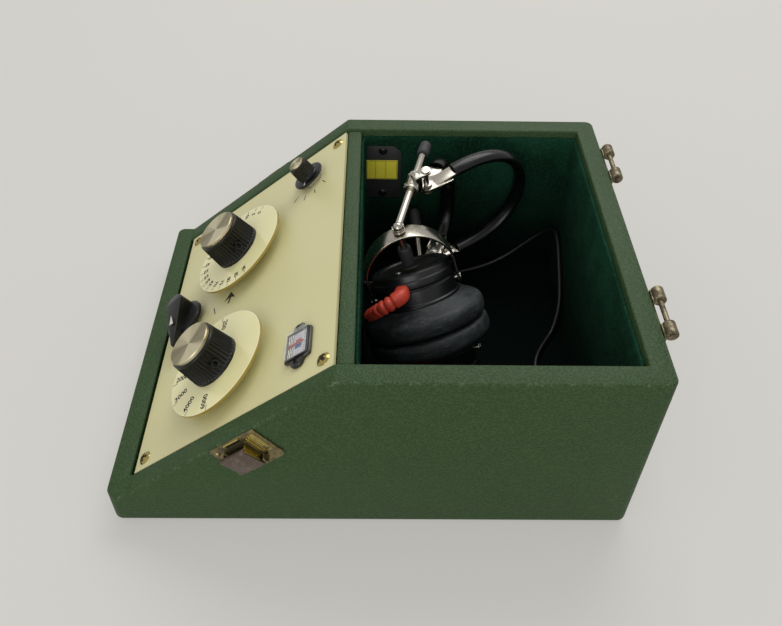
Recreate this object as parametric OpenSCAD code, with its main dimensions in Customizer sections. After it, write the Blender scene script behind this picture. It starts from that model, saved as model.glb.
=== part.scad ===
// Portable audiometer in a slope-fronted wooden case, its headset stowed in the rear compartment.
// X runs across the case, Y from the front to the hinged back, Z up.
// The origin is the middle of the underside of the case.

/* [Case] */
// Width of the case
case_w = 202.6; // [196:0.2:216]
// Depth from the front to the back
case_d = 254; // [252:1:262]
// Height of the back of the case
case_h = 106; // [105:0.5:110]
// Height of the front wall
front_h = 23.5; // [22.5:0.5:25]
// Slope of the control panel in degrees
slope_deg = 39; // [38.5:0.1:39.5]
// Thickness of each side wall
side_t = 11.2; // [9:0.1:12]
// Thickness of the back wall
back_t = 10.5; // [8:0.5:11]
// Thickness of the front wall
front_t = 9.9; // [9:0.1:10.5]
// Thickness of the bottom board
floor_t = 6; // [4:0.5:6]
// Thickness of the partition in front of the compartment
partition_t = 7.5; // [6:0.5:7.5]
// How far the top of the partition lies below the rim
partition_drop = 1.2; // [0.5:0.1:2]
// Radius of the upright corners
corner_r = 6; // [3:0.5:8]
// Radius of the edges of the underside
foot_r = 4; // [2:0.5:5]
// Thickness of the felt lining
felt_t = 1.2; // [0.8:0.1:1.3]
// How far the felt stops below the rim
felt_drop = 3.5; // [2:0.5:5]

/* [Control panel] */
// Thickness of the metal panel
panel_t = 1.6; // [1.2:0.1:2]
// How far the panel lies below the sloped rim
panel_drop = 0.8; // [0.6:0.1:1]
// Gap round the panel
panel_gap = 0.6; // [0.4:0.1:1]
// Width of the wooden strips that carry the panel
cleat_w = 10; // [9:0.5:11]
// Height of the wooden strips that carry the panel
cleat_h = 5.5; // [4.5:0.5:5.5]
// Distance of the panel screws from the sides of the panel
screw_inset = 6.5; // [5:0.5:7]
// Distance of the panel screws from the front and top edges of the panel
screw_end_inset = 6; // [4.5:0.5:7]
// Radius of a panel screw's shank
screw_r = 1.6; // [1.4:0.1:1.8]
// Radius of a panel screw's head
screw_head_r = 3.6; // [3.2:0.1:4]
// Length of a panel screw below the panel
screw_len = 5; // [4:0.5:5]

/* [Dials] */
// Place of the decibel dial across the panel
decibel_x = -32.1; // [-33:0.1:-31]
// Place of the decibel dial up the slope
decibel_s = 58.6; // [57:0.1:60]
// Place of the frequency dial across the panel
frequency_x = 53.1; // [51:0.1:54]
// Place of the frequency dial up the slope
frequency_s = 58; // [56:0.1:60]
// Radius of a dial disc
dial_r = 30.2; // [29:0.1:31]
// Thickness of a dial disc
dial_t = 1.6; // [1.2:0.1:1.8]
// Underside of a dial disc above the sloped rim
dial_lift = 5; // [4.5:0.1:5.5]
// Radius of a dial knob at its base
knob_base_r = 14.2; // [13.5:0.1:15]
// Radius of a dial knob at its top
knob_top_r = 13; // [12.5:0.1:13.4]
// Height of a dial knob
knob_h = 15.2; // [14:0.1:17]
// Number of flutes round a dial knob
flutes = 22; // [12:1:30]
// Radius of the spun metal cap
cap_r = 12; // [11:0.1:12.3]
// Thickness of the spun metal cap
cap_t = 1.8; // [1.2:0.1:2.4]
// Radius of the control shafts
shaft_r = 3.175; // [3:0.025:3.2]
// Running clearance round each shaft
shaft_gap = 0.05; // [0.03:0.01:0.08]
// Radius of the threaded bushings
bushing_r = 4.75; // [4.5:0.05:5]
// Clearance of the bushings in the panel
bushing_gap = 0.1; // [0.05:0.05:0.2]
// Size of the control nuts across their flats
nut_af = 14; // [13:0.5:15]
// Thickness of the control nuts
nut_t = 2.4; // [2:0.1:2.4]
// Radius of the step attenuator
attenuator_r = 19; // [17:0.5:20]
// Depth of the step attenuator
attenuator_d = 28; // [24:1:29]
// Radius of the frequency switch
switch_r = 17; // [15:0.5:18]
// Depth of the frequency switch
switch_d = 24; // [20:1:25]

/* [Small knobs] */
// Place of the selector across the panel
selector_x = -64.5; // [-66:0.1:-63]
// Distance of the selector from the top of the slope
selector_from_top = 26.1; // [25:0.1:28]
// Radius of the selector's skirt
selector_r = 9.7; // [9:0.1:11]
// Radius of the selector's hub
selector_hub_r = 5.7; // [5.2:0.1:6.5]
// Height of the selector's top above the sloped rim
selector_h = 12; // [11:0.5:13]
// Place of the pointer knob across the panel
pointer_x = -3; // [-4:0.1:-1]
// Place of the pointer knob up the slope
pointer_s = 18.5; // [17:0.1:20]
// Radius of the pointer knob's base
pointer_base_r = 12.5; // [11:0.1:13]
// Radius of the pointer knob's round tail
pointer_tail_r = 6.5; // [6:0.1:7]
// Reach of the pointer knob's tip from its axis
pointer_reach = 23; // [21:0.5:25]
// Height of the pointer knob's tail above the sloped rim
pointer_h = 13; // [12:0.5:14]
// Height of the pointer knob's tip above the sloped rim
pointer_tip_h = 7; // [6.5:0.5:8]
// Radius of the two small switches
small_switch_r = 10.5; // [9:0.5:11]
// Depth of the two small switches
small_switch_d = 11; // [9:0.5:11]

/* [Meter] */
// Place of the meter across the panel
meter_x = 67; // [66:0.1:68]
// Distance of the meter from the top of the slope
meter_from_top = 22.6; // [22:0.1:24]
// Length of the meter's flange
meter_w = 26; // [25:0.5:28]
// Width of the meter's flange
meter_d = 15; // [14:0.5:16]
// Top of the meter's flange above the sloped rim
meter_flange_h = 1.2; // [1:0.1:1.6]
// Length of the meter's window
window_w = 16.5; // [15:0.5:17]
// Width of the meter's window
window_d = 13; // [12:0.5:13.5]
// Height of the meter's window
window_h = 3; // [2.6:0.1:3.6]
// Wall of the meter's window
window_t = 0.9; // [0.7:0.1:1]
// Depth of the meter below the panel
meter_depth = 8.5; // [7:0.5:9]
// Spacing of the meter's two screws
meter_screw_pitch = 21; // [20.5:0.1:21.5]

/* [Latches and hinges] */
// Length of a latch plate along the slope
latch_w = 27.5; // [26:0.5:30]
// Height of a latch plate
latch_h = 22.5; // [21:0.5:24]
// Thickness of a latch plate
latch_t = 1; // [0.8:0.1:1.4]
// Start of a latch plate along the slope
latch_s = 56.5; // [50:0.5:62]
// Width of the latch lever
lever_w = 14; // [12:0.5:16]
// Height of the lever's pivot above the case side
lever_pivot_h = 3.4; // [3.3:0.1:4]
// Distance of the lever's pivot below the rim
lever_pivot_drop = 17.5; // [17:0.1:18.5]
// Thickness of the lever's metal
lever_t = 1; // [0.8:0.1:1.2]
// Radius of the latch pin
latch_pin_r = 1; // [0.9:0.05:1.1]
// Distance of each hinge from the middle of the case
hinge_x = 58.4; // [54:0.1:64]
// Distance between the two knuckles of a hinge
knuckle_pitch = 22; // [20:0.5:24]
// Length of a knuckle
knuckle_w = 7.5; // [6:0.5:8]
// Radius of a knuckle
knuckle_r = 3; // [2.6:0.1:3.2]
// Radius of the hinge pins
hinge_pin_r = 1.25; // [1:0.05:1.4]
// Height of a hinge leaf
leaf_h = 16; // [14:0.5:20]
// Thickness of a hinge leaf
leaf_t = 1.5; // [1.2:0.1:1.8]
// Radius of a back stud
stud_r = 5; // [4:0.5:6]
// Height of a back stud
stud_h = 3; // [2:0.5:4]
// Distance of the back studs from the sides
stud_inset = 9.3; // [8.5:0.1:14]
// Distance of the back studs from the top and the underside
stud_end_inset = 18; // [12:1:20]

/* [Headset] */
// Radius of an ear cushion
cushion_r = 33; // [32:0.1:33.2]
// Thickness of an ear cushion
cushion_t = 15; // [14:0.5:15]
// Radius of the opening in an ear cushion
cushion_hole_r = 10; // [9:0.5:12]
// Gap between the two stowed ear cushions
cushion_gap = 0.8; // [0.6:0.1:1]
// Radius of a receiver's body
receiver_r = 21.5; // [20:0.1:21.8]
// Radius of a receiver's cap
receiver_cap_r = 22; // [21:0.1:22.1]
// Length of a receiver's body
receiver_h = 9; // [8:0.5:10]
// Length of a receiver's cap
receiver_cap_h = 9; // [8:0.5:9.5]
// Reach of a yoke from its pivots
yoke_reach = 36.5; // [36:0.1:38]
// Inner half-width of a yoke
yoke_in = 22.6; // [22.4:0.1:23]
// Thickness of a yoke's metal
yoke_t = 1.2; // [1:0.1:1.4]
// Width of a yoke at its top
yoke_w = 11; // [9:0.5:12]
// Radius of the receiver's pivot studs
pivot_r = 1; // [0.8:0.05:1.2]
// Radius of a headset rod
rod_r = 2.2; // [2:0.05:2.3]
// Length of a headset rod from its knuckle
rod_len = 77; // [74:0.5:78]
// Place of the clamps along the rods
clamp_at = 38; // [36:1:42]
// Radius of the stub that joins a rod to its yoke
stub_pin_r = 1.9; // [1.7:0.05:2.1]
// Radius of the rubber tips
tip_r = 3.5; // [3.2:0.1:3.8]
// Length of the rubber tips
tip_len = 11; // [9:0.5:12]
// Width of the headband springs
band_w = 8; // [6:0.5:9]
// Thickness of the headband springs
band_t = 0.8; // [0.6:0.1:1]
// Thickness of the sleeves on the headband springs
sleeve_t = 5.6; // [5:0.1:6.2]
// Width of the sleeves on the headband springs
sleeve_w = 9.6; // [9.2:0.1:10]
// Radius of the pins that carry the headband springs
wing_pin_r = 1.6; // [1.3:0.1:2]

/* [Inside] */
// Thickness of the circuit board
board_t = 1.6; // [1.2:0.1:2]
// Width of the circuit board
board_w = 98; // [90:1:100]
// Depth of the circuit board
board_d = 52; // [44:1:54]
// Height of the spacers under the circuit board
spacer_h = 5; // [4:0.5:6]
// Width of the output transformer
transformer_w = 24; // [20:1:26]
// Height of the output transformer
transformer_h = 28; // [24:1:30]
// Length of the battery
battery_l = 48.5; // [46:0.5:49]
// Width of the battery
battery_w = 26.5; // [25:0.5:26.5]
// Height of the battery
battery_h = 17.5; // [16:0.5:17.5]
// Thickness of the battery clip
clip_t = 0.8; // [0.6:0.1:0.8]
// Radius of the hole for the headset's cord
cord_hole_r = 5; // [4:0.5:6]
// Diameter of the headset's cord
cord_d = 3.2; // [2.8:0.1:3.4]
// Diameter of the two leads from the cord to the ears
lead_d = 2.4; // [2:0.1:2.6]

/* [Hidden] */
$fn = 64;
tiny = 0.01;
fit_gap = 0.05;

// Output transformer: its core, its winding and the foot that it stands on
transformer_inset = transformer_w / 2 + 4;
transformer_back = transformer_w - 2;
core_d = transformer_w * 0.75;
winding_w = transformer_w * 2 / 3;
winding_d = transformer_w + 4;
winding_h = transformer_h - 10;
foot_d = transformer_w * 1.5;
foot_t = 1;

// Case, worked out from the driving sizes
in_w = case_w - 2 * side_t;
slope_y0 = -case_d / 2 + front_t;
slope_len = (case_h - front_h) / sin(slope_deg);
break_y = slope_y0 + slope_len * cos(slope_deg);
partition_y = break_y + 0.5;
room_y0 = partition_y + partition_t;
room_y1 = case_d / 2 - back_t;
felt_top = case_h - felt_drop;
felt_x = in_w / 2 - felt_t;
felt_floor = floor_t + felt_t;

// Panel, in slope coordinates: x across, s up the slope, h out of the slope
selector_s = slope_len - selector_from_top;
meter_s = slope_len - meter_from_top;
panel_top = -panel_drop;
panel_bottom = panel_top - panel_t;
panel_s0 = 1.5;
panel_s1 = slope_len - 1.9;
panel_w = in_w - 2 * panel_gap;
cleat_s0 = panel_s0 + 3;
cleat_s1 = (partition_y - 0.1 - slope_y0 - (cleat_h - panel_bottom) * sin(slope_deg)) / cos(slope_deg);
bushing_top = panel_top + nut_t + 1;
dial_top = dial_lift + dial_t;
knob_top = dial_top + knob_h;
knob_bore_d = 11;
knob_base_h = panel_top + nut_t + 0.4;
small_bore_d = 8;

// Meter
meter_top = meter_flange_h;
meter_screw_r = 0.9;
meter_screw_len = 5;
needle_lift = 0.5;
needle_t = 0.5;
needle_len = 8.4;
needle_pivot_r = 0.6;

// Latch lever, in plate coordinates: along the slope, away from the slope, out of the side
lever_x = latch_s + 4.6;
ear_t = 1.1;
ear_gap = 0.35;
barrel_r = latch_pin_r + 0.9;
rivet_r = 1.8;

// Hinges
hinge_y = case_d / 2 + knuckle_r + 0.5;
hinge_z = case_h;
leaf_w = knuckle_pitch + knuckle_w;
leaf_top = case_h - 2.5;
leaf_screw_r = 1.4;
leaf_screw_len = 8;

// Cover plate on the left wall of the compartment
cover_y0 = room_y0 + felt_t + 0.4;
cover_w = 21.5;
cover_z0 = 60;
cover_h = 36;
cover_t = 1;
cover_screw_inset = 3.2;
cover_screw_len = 9;

// Headset, stowed: one stack of two ears, leaning in the compartment.
// In the stack, Z runs from the upper ear to the lower ear and X along the pivots of the yokes.
stow_from_corner = [98.7, 34.9, 41.2];
room_corner = [-felt_x, room_y0 + felt_t, felt_floor];
stow_at = room_corner + stow_from_corner;
stow_tilt = 146.1;
stow_heading = 32.3;
stow_spin = 116.1;
pivot_h = 20;
receiver_h0 = cushion_t + 0.2;
yoke_tilt_upper = 24;
yoke_tilt_lower = 96;
stub_in_upper = 19.5;
stub_in_lower = 10;
knuckle_out = yoke_t / 2 + 0.3 + 2.8;
knuckle_ball_r = 2.8;
yoke_top = yoke_reach + yoke_t / 2;

function unit(v) = v / norm(v);
function turn_x(v, a) = [v[0], v[1] * cos(a) - v[2] * sin(a), v[1] * sin(a) + v[2] * cos(a)];
function turn_y(v, a) = [v[0] * cos(a) + v[2] * sin(a), v[1], v[2] * cos(a) - v[0] * sin(a)];
function turn_z(v, a) = [v[0] * cos(a) - v[1] * sin(a), v[0] * sin(a) + v[1] * cos(a), v[2]];
function stowed_dir(v) = turn_z(turn_y(turn_z(v, stow_spin), stow_tilt), stow_heading);
function stowed(v) = stow_at + stowed_dir(v);
function flip(v, side) = side < 0 ? [v[0], -v[1], -v[2]] : v;
function yoke_tilt(side) = side < 0 ? yoke_tilt_upper : yoke_tilt_lower;
// A point given along a yoke: x across, y through, z away from the pivots
function on_yoke(v, side) =
    stowed(flip([0, 0, cushion_gap / 2 + pivot_h] + turn_x(v, yoke_tilt(side)), side));

rod_from = [on_yoke([0, 0, yoke_reach + knuckle_out], -1), on_yoke([0, 0, yoke_reach + knuckle_out], 1)];
rod_dir = [unit([-0.975, 0.22, -0.004]), unit([-0.855, -0.107, 0.51])];
function rod_point(i, at) = rod_from[i] + at * rod_dir[i];
clamp_point = [rod_point(0, clamp_at), rod_point(1, clamp_at)];

// The headband: two springs that loop from clamp to clamp and spread about the line between them
clamp_side = 8.5;
clamp_face = 5.2;
band_mid = (clamp_point[0] + clamp_point[1]) / 2;
band_axis = unit(clamp_point[1] - clamp_point[0]);
band_half = norm(clamp_point[1] - clamp_point[0]) / 2;
band_flat = unit([0, 1, 0] - band_axis * band_axis[1]);
band_cross = cross(band_axis, band_flat);
band_turn = [-30, -70];
band_depth = [62, 34];
band_bulge = [15, 11];
band_steps = 36;
wing_t = 1;
wing_len = 15;
wing_w = 9;
wing_play = 0.3;
// The wings lie side by side on the pins, each with the end of its spring on its inner face
wing_at = [clamp_face + wing_play, clamp_face + 2 * wing_play + wing_t + band_t];
hub_mid = band_mid + band_out(0) * clamp_side;
function band_out(i) = cos(band_turn[i]) * band_flat + sin(band_turn[i]) * band_cross;
function band_point(i, t) =
    hub_mid + band_out(i) * band_depth[i] * sin(t)
    - band_axis * (band_half - wing_at[i] - wing_t - band_t / 2 + band_bulge[i] * sin(t)) * cos(t);
function band_tangent(i, t) = unit(band_point(i, t + 1) - band_point(i, t - 1));
function band_normal(i, t) = unit(cross(band_tangent(i, t), cross(band_axis, band_out(i))));
// Angle along a band at which it lies a given distance from the pins
function band_angle(i, reach) = asin(reach / band_depth[i]);
sleeve_reach = 17;
strip_reach = 4;

// Cord of the headset: it comes through the partition, lies along the walls and the floor of the
// compartment to a coil, and goes on from there as one lead to each ear
cord_exit = room_corner + [28.9, 0, 6.8];
coil_from_corner = [144.9, 90];
coil_at = [room_corner[0] + coil_from_corner[0], room_corner[1] + coil_from_corner[1]];
coil_r = 18;
coil_turns_wide = 3;
coil_turns_high = 2;
coil_w = coil_turns_wide * cord_d;
coil_h = coil_turns_high * cord_d;
cord_sides = 8;
cord_points = [
    [28.9, -7, 6.8], [28.9, 0, 6.8], [27.9, 8, 6], [25.9, 16, 4.2], [22.9, 26, 2.4], [18.9, 38, 1.8],
    [14.9, 52, 1.8], [10.9, 66, 2.4], [7.9, 79, 4.8], [4.9, 92, 10.8], [3.4, 104, 20.8], [4.4, 113, 29.8],
    [9.9, 117.8, 34.8], [18.9, 119, 33.3], [30.9, 119, 27.3], [40.9, 119, 20.3], [49.9, 118.6, 13.3],
    [57.9, 116.6, 6.3], [66.9, 112.6, 2.4], [77.9, 105.6, 1.8], [89.9, 100.4, 1.8], [101.9, 100, 1.8],
    [112.9, 104, 1.8], [123.9, 110, 1.8], [133.9, 113.6, 1.8], [144.9, 114.7, 1.8]
];
lead_points = [[
    [109.4, 5, 58.2], [109.3, 3.2, 55.8], [110.9, 1.8, 50.3], [114.3, 1.7, 42.8], [117.5, 1.7, 32.8],
    [120.5, 1.8, 20.8], [124.9, 2.4, 9.8], [131.9, 5, 3.2], [139.9, 10, 1.8], [148.9, 18, 1.8], [156.9, 30, 1.8],
    [162.9, 45, 1.8], [166.5, 60, 1.8], [168.7, 75, 1.8], [169.6, 90, 1.8]
], [
    [126.4, 15.5, 28.2], [125.1, 12.9, 27.6], [124.3, 9.4, 24.4], [125.5, 7.4, 17.8], [128.9, 8.4, 9.3],
    [134.5, 13, 3], [140.5, 20, 1.8], [145.9, 31, 1.8], [149.5, 43, 1.8], [151.9, 54, 1.8], [150.9, 62, 1.8],
    [144.9, 65.3, 1.8]
]];
// The leads run down and then along the floor, and never in this direction
lead_off_route = [0.9, -0.2, 0.4];
lead_steps = 3;
// The same routes in the case's own frame
cord_route = [for (p = cord_points) p + room_corner];
lead_routes = [for (route = lead_points) [for (p = route) p + room_corner]];

// ---- Frames ----

// Places children on the slope: x across, s up the slope, h out of it
module on_slope(x, s, h = 0) {
    translate([x, slope_y0, front_h]) rotate([slope_deg, 0, 0]) translate([0, s, h]) children();
}

// Places children on a side wall: X along the slope, Y square to it, Z out of the wall
module on_side(side) {
    mirror([side < 0 ? 1 : 0, 0, 0]) translate([case_w / 2, slope_y0, front_h])
        rotate([slope_deg, 0, 0]) rotate([90, 0, 90]) children();
}

// Places children with their Z along a direction and their X as near as can be to another
module along(at, z_dir, x_hint = [0, 0, 1]) {
    z = unit(z_dir);
    y = unit(cross(z, x_hint));
    x = cross(y, z);
    translate(at)
        rotate([atan2(y[2], z[2]), atan2(-x[2], norm([x[0], x[1]])), atan2(x[1], x[0])]) children();
}

// Places children on one ear of the stowed headset, with Z out of the ear
module on_ear(side) {
    translate(stow_at) rotate([0, stow_tilt, stow_heading]) rotate([0, 0, stow_spin])
        rotate([side < 0 ? 180 : 0, 0, 0]) translate([0, 0, cushion_gap / 2]) children();
}

// Places children on a yoke, with Z away from its pivots
module on_yoke_frame(side) {
    on_ear(side) translate([0, 0, pivot_h]) rotate([yoke_tilt(side), 0, 0]) children();
}

// ---- Shapes ----

module rounded_rect(w, d, r) {
    square([w - 2 * r, d], center = true);
    square([w, d - 2 * r], center = true);
    for (x = [-1, 1], y = [-1, 1]) translate([x * (w / 2 - r), y * (d / 2 - r)]) circle(r);
}

// A rectangle standing on its middle, with its two lower corners rounded
module footed_rect(w, h, r) {
    translate([-w / 2, r]) square([w, h - r]);
    translate([-w / 2 + r, 0]) square([w - 2 * r, h]);
    for (x = [-1, 1]) translate([x * (w / 2 - r), r]) circle(r);
}

// The whole outer form of the case
module outer_form() {
    intersection() {
        linear_extrude(case_h) rounded_rect(case_w, case_d, corner_r);
        rotate([90, 0, 0]) linear_extrude(case_d + 2, center = true) footed_rect(case_w, case_h, foot_r);
        rotate([90, 0, 90]) linear_extrude(case_w + 2, center = true) difference() {
            footed_rect(case_d, case_h, foot_r);
            polygon([[-case_d, front_h], [slope_y0, front_h], [break_y, case_h],
                [break_y, case_h + 1], [-case_d, case_h + 1]]);
        }
    }
}

// A box placed by its low corner and its high corner
module box_between(low, high) {
    translate(low) cube(high - low);
}

// A tube swept along points, with the given half-width and half-thickness
module swept(points, normals, half_w, half_t, sides) {
    count = len(points);
    rings = [for (i = [0:count - 1])
        let (tangent = unit(points[min(i + 1, count - 1)] - points[max(i - 1, 0)]),
            side = unit(cross(tangent, normals[i])), up = cross(side, tangent))
        for (k = [0:sides - 1])
            points[i] + side * half_w * cos(360 * k / sides) + up * half_t * sin(360 * k / sides)];
    walls = [for (i = [0:count - 2], k = [0:sides - 1])
        let (n = (k + 1) % sides)
        [i * sides + k, i * sides + n, (i + 1) * sides + n, (i + 1) * sides + k]];
    polyhedron(rings, concat([[for (k = [sides - 1:-1:0]) k]], walls,
        [[for (k = [0:sides - 1]) (count - 1) * sides + k]]), convexity = 6);
}

// Points on a smooth curve through the given ones
function smooth_at(p, i, u) =
    let (a = p[max(i - 1, 0)], b = p[i], c = p[i + 1], d = p[min(i + 2, len(p) - 1)])
    0.5 * ((2 * b) + (c - a) * u + (2 * a - 5 * b + 4 * c - d) * u * u
        + (3 * b - a - 3 * c + d) * u * u * u);
function smooth(p, n) =
    concat([for (i = [0:len(p) - 2], k = [0:n - 1]) smooth_at(p, i, k / n)], [p[len(p) - 1]]);

// A round cord along a route, with its section set out from a direction that the route never takes
module cord_tube(route, d, off_route = [0.01, 0.02, 1], steps = 2) {
    p = smooth(route, steps);
    swept(p, [for (i = p) off_route], d / 2, d / 2, cord_sides);
}

// ---- Case ----

module case_side(side) {
    color("#46593c") intersection() {
        outer_form();
        translate([side > 0 ? in_w / 2 : -case_w / 2, -case_d / 2, 0]) cube([side_t, case_d, case_h]);
    }
}

module case_board(y0, y1, z1) {
    color("#46593c") intersection() {
        outer_form();
        box_between([-in_w / 2, y0, 0], [in_w / 2, y1, z1]);
    }
}

module case_side_left() difference() {
    case_side(-1);
    wall_holes(-1);
}

module case_side_right() difference() {
    case_side(1);
    wall_holes(1);
}

module case_front() case_board(-case_d / 2, slope_y0, front_h);

module case_back() difference() {
    case_board(room_y1, case_d / 2, case_h);
    for (x = leaf_screw_xs()) translate([x, case_d / 2 + tiny, leaf_screw_z()])
        rotate([90, 0, 0]) cylinder(r = leaf_screw_r + fit_gap, h = leaf_screw_len + 0.3);
}

module case_bottom() color("#3c4a35")
    box_between([-in_w / 2, slope_y0, 0], [in_w / 2, room_y1, floor_t]);

module partition() color("#46593c") difference() {
    box_between([-in_w / 2, partition_y, floor_t], [in_w / 2, room_y0, case_h - partition_drop]);
    cord_hole(cord_hole_r);
}

module cord_hole(r) {
    translate([cord_exit[0], partition_y - 1, cord_exit[2]]) rotate([-90, 0, 0])
        cylinder(r = r, h = partition_t + felt_t + 2);
}

// Holes in a side wall for the latch rivets and, on the left, for the cover plate's screws
module wall_holes(side) {
    on_side(side) for (p = rivet_places()) translate([p[0], p[1], -rivet_len()])
        cylinder(r = rivet_shank_r() + fit_gap, h = rivet_len() + 1);
    if (side < 0) for (p = cover_screw_places()) translate([-in_w / 2 + 1, p[0], p[1]])
        rotate([0, -90, 0]) cylinder(r = screw_r + fit_gap, h = cover_screw_len + 1.3);
}

module panel_cleats() color("#b58f5a") difference() {
    for (x = [-1, 1]) on_slope(x * (in_w - cleat_w) / 2, cleat_s0, panel_bottom - cleat_h)
        translate([-cleat_w / 2, 0, 0]) cube([cleat_w, cleat_s1 - cleat_s0, cleat_h]);
    panel_screw_holes(screw_r + fit_gap);
}

module felt_lining() color("#12402d") difference() {
    box_between([-in_w / 2, room_y0, floor_t], [in_w / 2, room_y1, felt_top]);
    box_between([-felt_x, room_y0 + felt_t, felt_floor], [felt_x, room_y1 - felt_t, case_h]);
    cord_hole(cord_hole_r + 1.6);
    for (p = cover_screw_places()) translate([-in_w / 2 - 1, p[0], p[1]])
        rotate([0, 90, 0]) cylinder(r = screw_r + fit_gap, h = felt_t + 2);
}

// ---- Hardware ----

function stud_zs() = [stud_end_inset, case_h - stud_end_inset];

module back_studs() color("#8f7d4f")
    for (x = [-1, 1], z = stud_zs()) translate([x * (case_w / 2 - stud_inset), case_d / 2, z])
        rotate([-90, 0, 0]) domed_head(stud_r, stud_h);

// A low dome on a flat base
module domed_head(r, h) {
    ball = (r * r + h * h) / (2 * h);
    intersection() {
        translate([0, 0, h - ball]) sphere(ball);
        cylinder(r = r + 1, h = h + 1);
    }
}

function leaf_screw_xs() = [for (side = [-1, 1], k = [-1, 1]) side * hinge_x + k * knuckle_pitch / 2];
function leaf_screw_z() = leaf_top - leaf_h * 0.6;

module hinge_leaves() color("#7d6f55") difference() {
    for (side = [-1, 1]) translate([side * hinge_x, 0, 0]) {
        box_between([-leaf_w / 2, case_d / 2, leaf_top - leaf_h], [leaf_w / 2, case_d / 2 + leaf_t, leaf_top]);
        for (k = [-1, 1]) translate([k * knuckle_pitch / 2, hinge_y, hinge_z]) {
            rotate([0, 90, 0]) cylinder(r = knuckle_r, h = knuckle_w, center = true);
            box_between([-knuckle_w / 2, case_d / 2 - hinge_y, leaf_top - hinge_z - 1],
                [knuckle_w / 2, case_d / 2 - hinge_y + leaf_t, 0]);
        }
    }
    for (side = [-1, 1]) translate([side * hinge_x, hinge_y, hinge_z]) rotate([0, 90, 0])
        cylinder(r = hinge_pin_r, h = leaf_w + 2, center = true);
    for (x = leaf_screw_xs()) translate([x, case_d / 2 - 1, leaf_screw_z()]) rotate([-90, 0, 0])
        cylinder(r = leaf_screw_r + fit_gap, h = leaf_t + 2);
}

module steel_pins() color("#9c9484") {
    for (side = [-1, 1]) {
        translate([side * hinge_x, hinge_y, hinge_z]) rotate([0, 90, 0])
            cylinder(r = hinge_pin_r, h = leaf_w + 1, center = true);
        on_side(side) translate([lever_x - ear_gap - ear_t, -lever_pivot_drop, lever_pivot_h])
            rotate([0, 90, 0]) cylinder(r = latch_pin_r, h = lever_w + 2 * (ear_gap + ear_t));
    }
}

function panel_screw_xs() = [-1, 1] * (panel_w / 2 - screw_inset);
function panel_screw_ss() = [panel_s0 + screw_end_inset, panel_s1 - screw_end_inset];

module panel_screw_holes(r) {
    for (x = panel_screw_xs(), s = panel_screw_ss()) on_slope(x, s, panel_bottom - screw_len - 0.3)
        cylinder(r = r, h = screw_len + panel_t + 2);
}

module cross_slot(size, depth) {
    for (a = [0, 90]) rotate([0, 0, a]) cube([size, size * 0.22, 2 * depth], center = true);
}

// A screw with a domed and crossed head, its head on z = 0 and its shank below
module domed_screw(head_r, head_h, shank_r, length) {
    difference() {
        domed_head(head_r, head_h);
        translate([0, 0, head_h]) cross_slot(head_r, head_h * 0.5);
    }
    translate([0, 0, -length]) cylinder(r = shank_r, h = length + tiny);
}

module brass_screws() color("#9b8656") {
    for (x = panel_screw_xs(), s = panel_screw_ss()) on_slope(x, s, panel_top)
        domed_screw(screw_head_r, 1.5, screw_r, screw_len + panel_t);
    for (x = leaf_screw_xs()) translate([x, case_d / 2 + leaf_t, leaf_screw_z()]) rotate([-90, 0, 0])
        domed_screw(2.8, 1.1, leaf_screw_r, leaf_screw_len + leaf_t);
    for (side = [-1, 1]) on_side(side) for (p = rivet_places()) translate([p[0], p[1], latch_t])
        latch_rivet();
}

function rivet_places() = [[latch_s + latch_w - 3.3, -13.2], [latch_s + 2.2, -4.2], [latch_s + 2.2, -11]];
function rivet_len() = 6;
function rivet_shank_r() = 1;

module latch_rivet() {
    domed_head(rivet_r, 0.9);
    translate([0, 0, -rivet_len() - latch_t + 0.3]) cylinder(r = rivet_shank_r(), h = rivet_len() + latch_t);
}

// ---- Latches ----

module latch_plates() color("#8a7a4a") for (side = [-1, 1]) on_side(side) difference() {
    union() {
        translate([latch_s, -latch_h, 0]) cube([latch_w, latch_h - 0.4, latch_t]);
        for (x = [lever_x - ear_gap - ear_t, lever_x + lever_w + ear_gap])
            translate([x, -lever_pivot_drop, 0]) {
                translate([0, 0, lever_pivot_h]) rotate([0, 90, 0]) cylinder(r = barrel_r, h = ear_t);
                translate([0, -barrel_r, 0]) cube([ear_t, 2 * barrel_r, lever_pivot_h]);
            }
    }
    translate([lever_x - 5, -lever_pivot_drop, lever_pivot_h]) rotate([0, 90, 0])
        cylinder(r = latch_pin_r, h = lever_w + 10);
    for (p = rivet_places()) translate([p[0], p[1], -1]) cylinder(r = rivet_shank_r() + fit_gap, h = latch_t + 2);
    translate([lever_x + lever_w / 2 + 1, -1, -1]) cube([3.5, 2.4, 4], center = true);
}

// The lever: a barrel round the pin, a pressed cover and a hook that would hold the lid's catch
module latch_lever(side) {
    cover_h0 = lever_pivot_h + barrel_r - lever_t;
    on_side(side) translate([lever_x, -lever_pivot_drop, 0]) color("#5d5048") difference() {
        rotate([90, 0, 90]) linear_extrude(lever_w) union() {
            translate([0, lever_pivot_h]) circle(barrel_r);
            polygon([[0, cover_h0], [5, cover_h0 + 1.4], [lever_pivot_drop - 4, cover_h0 + 1.6],
                [lever_pivot_drop - 2.2, cover_h0 - 0.4], [lever_pivot_drop - 2.2, latch_t + 0.5],
                [lever_pivot_drop - 1.2, latch_t + 0.5], [lever_pivot_drop - 1.2, cover_h0 + 0.6],
                [lever_pivot_drop - 3.2, cover_h0 + 1.6 + lever_t], [4.6, cover_h0 + 1.4 + lever_t],
                [0, cover_h0 + lever_t]]);
        }
        translate([-1, 0, lever_pivot_h]) rotate([0, 90, 0])
            cylinder(r = latch_pin_r + shaft_gap, h = lever_w + 2);
    }
}

module latch_lever_left() latch_lever(-1);

module latch_lever_right() latch_lever(1);

// ---- Panel ----

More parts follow.
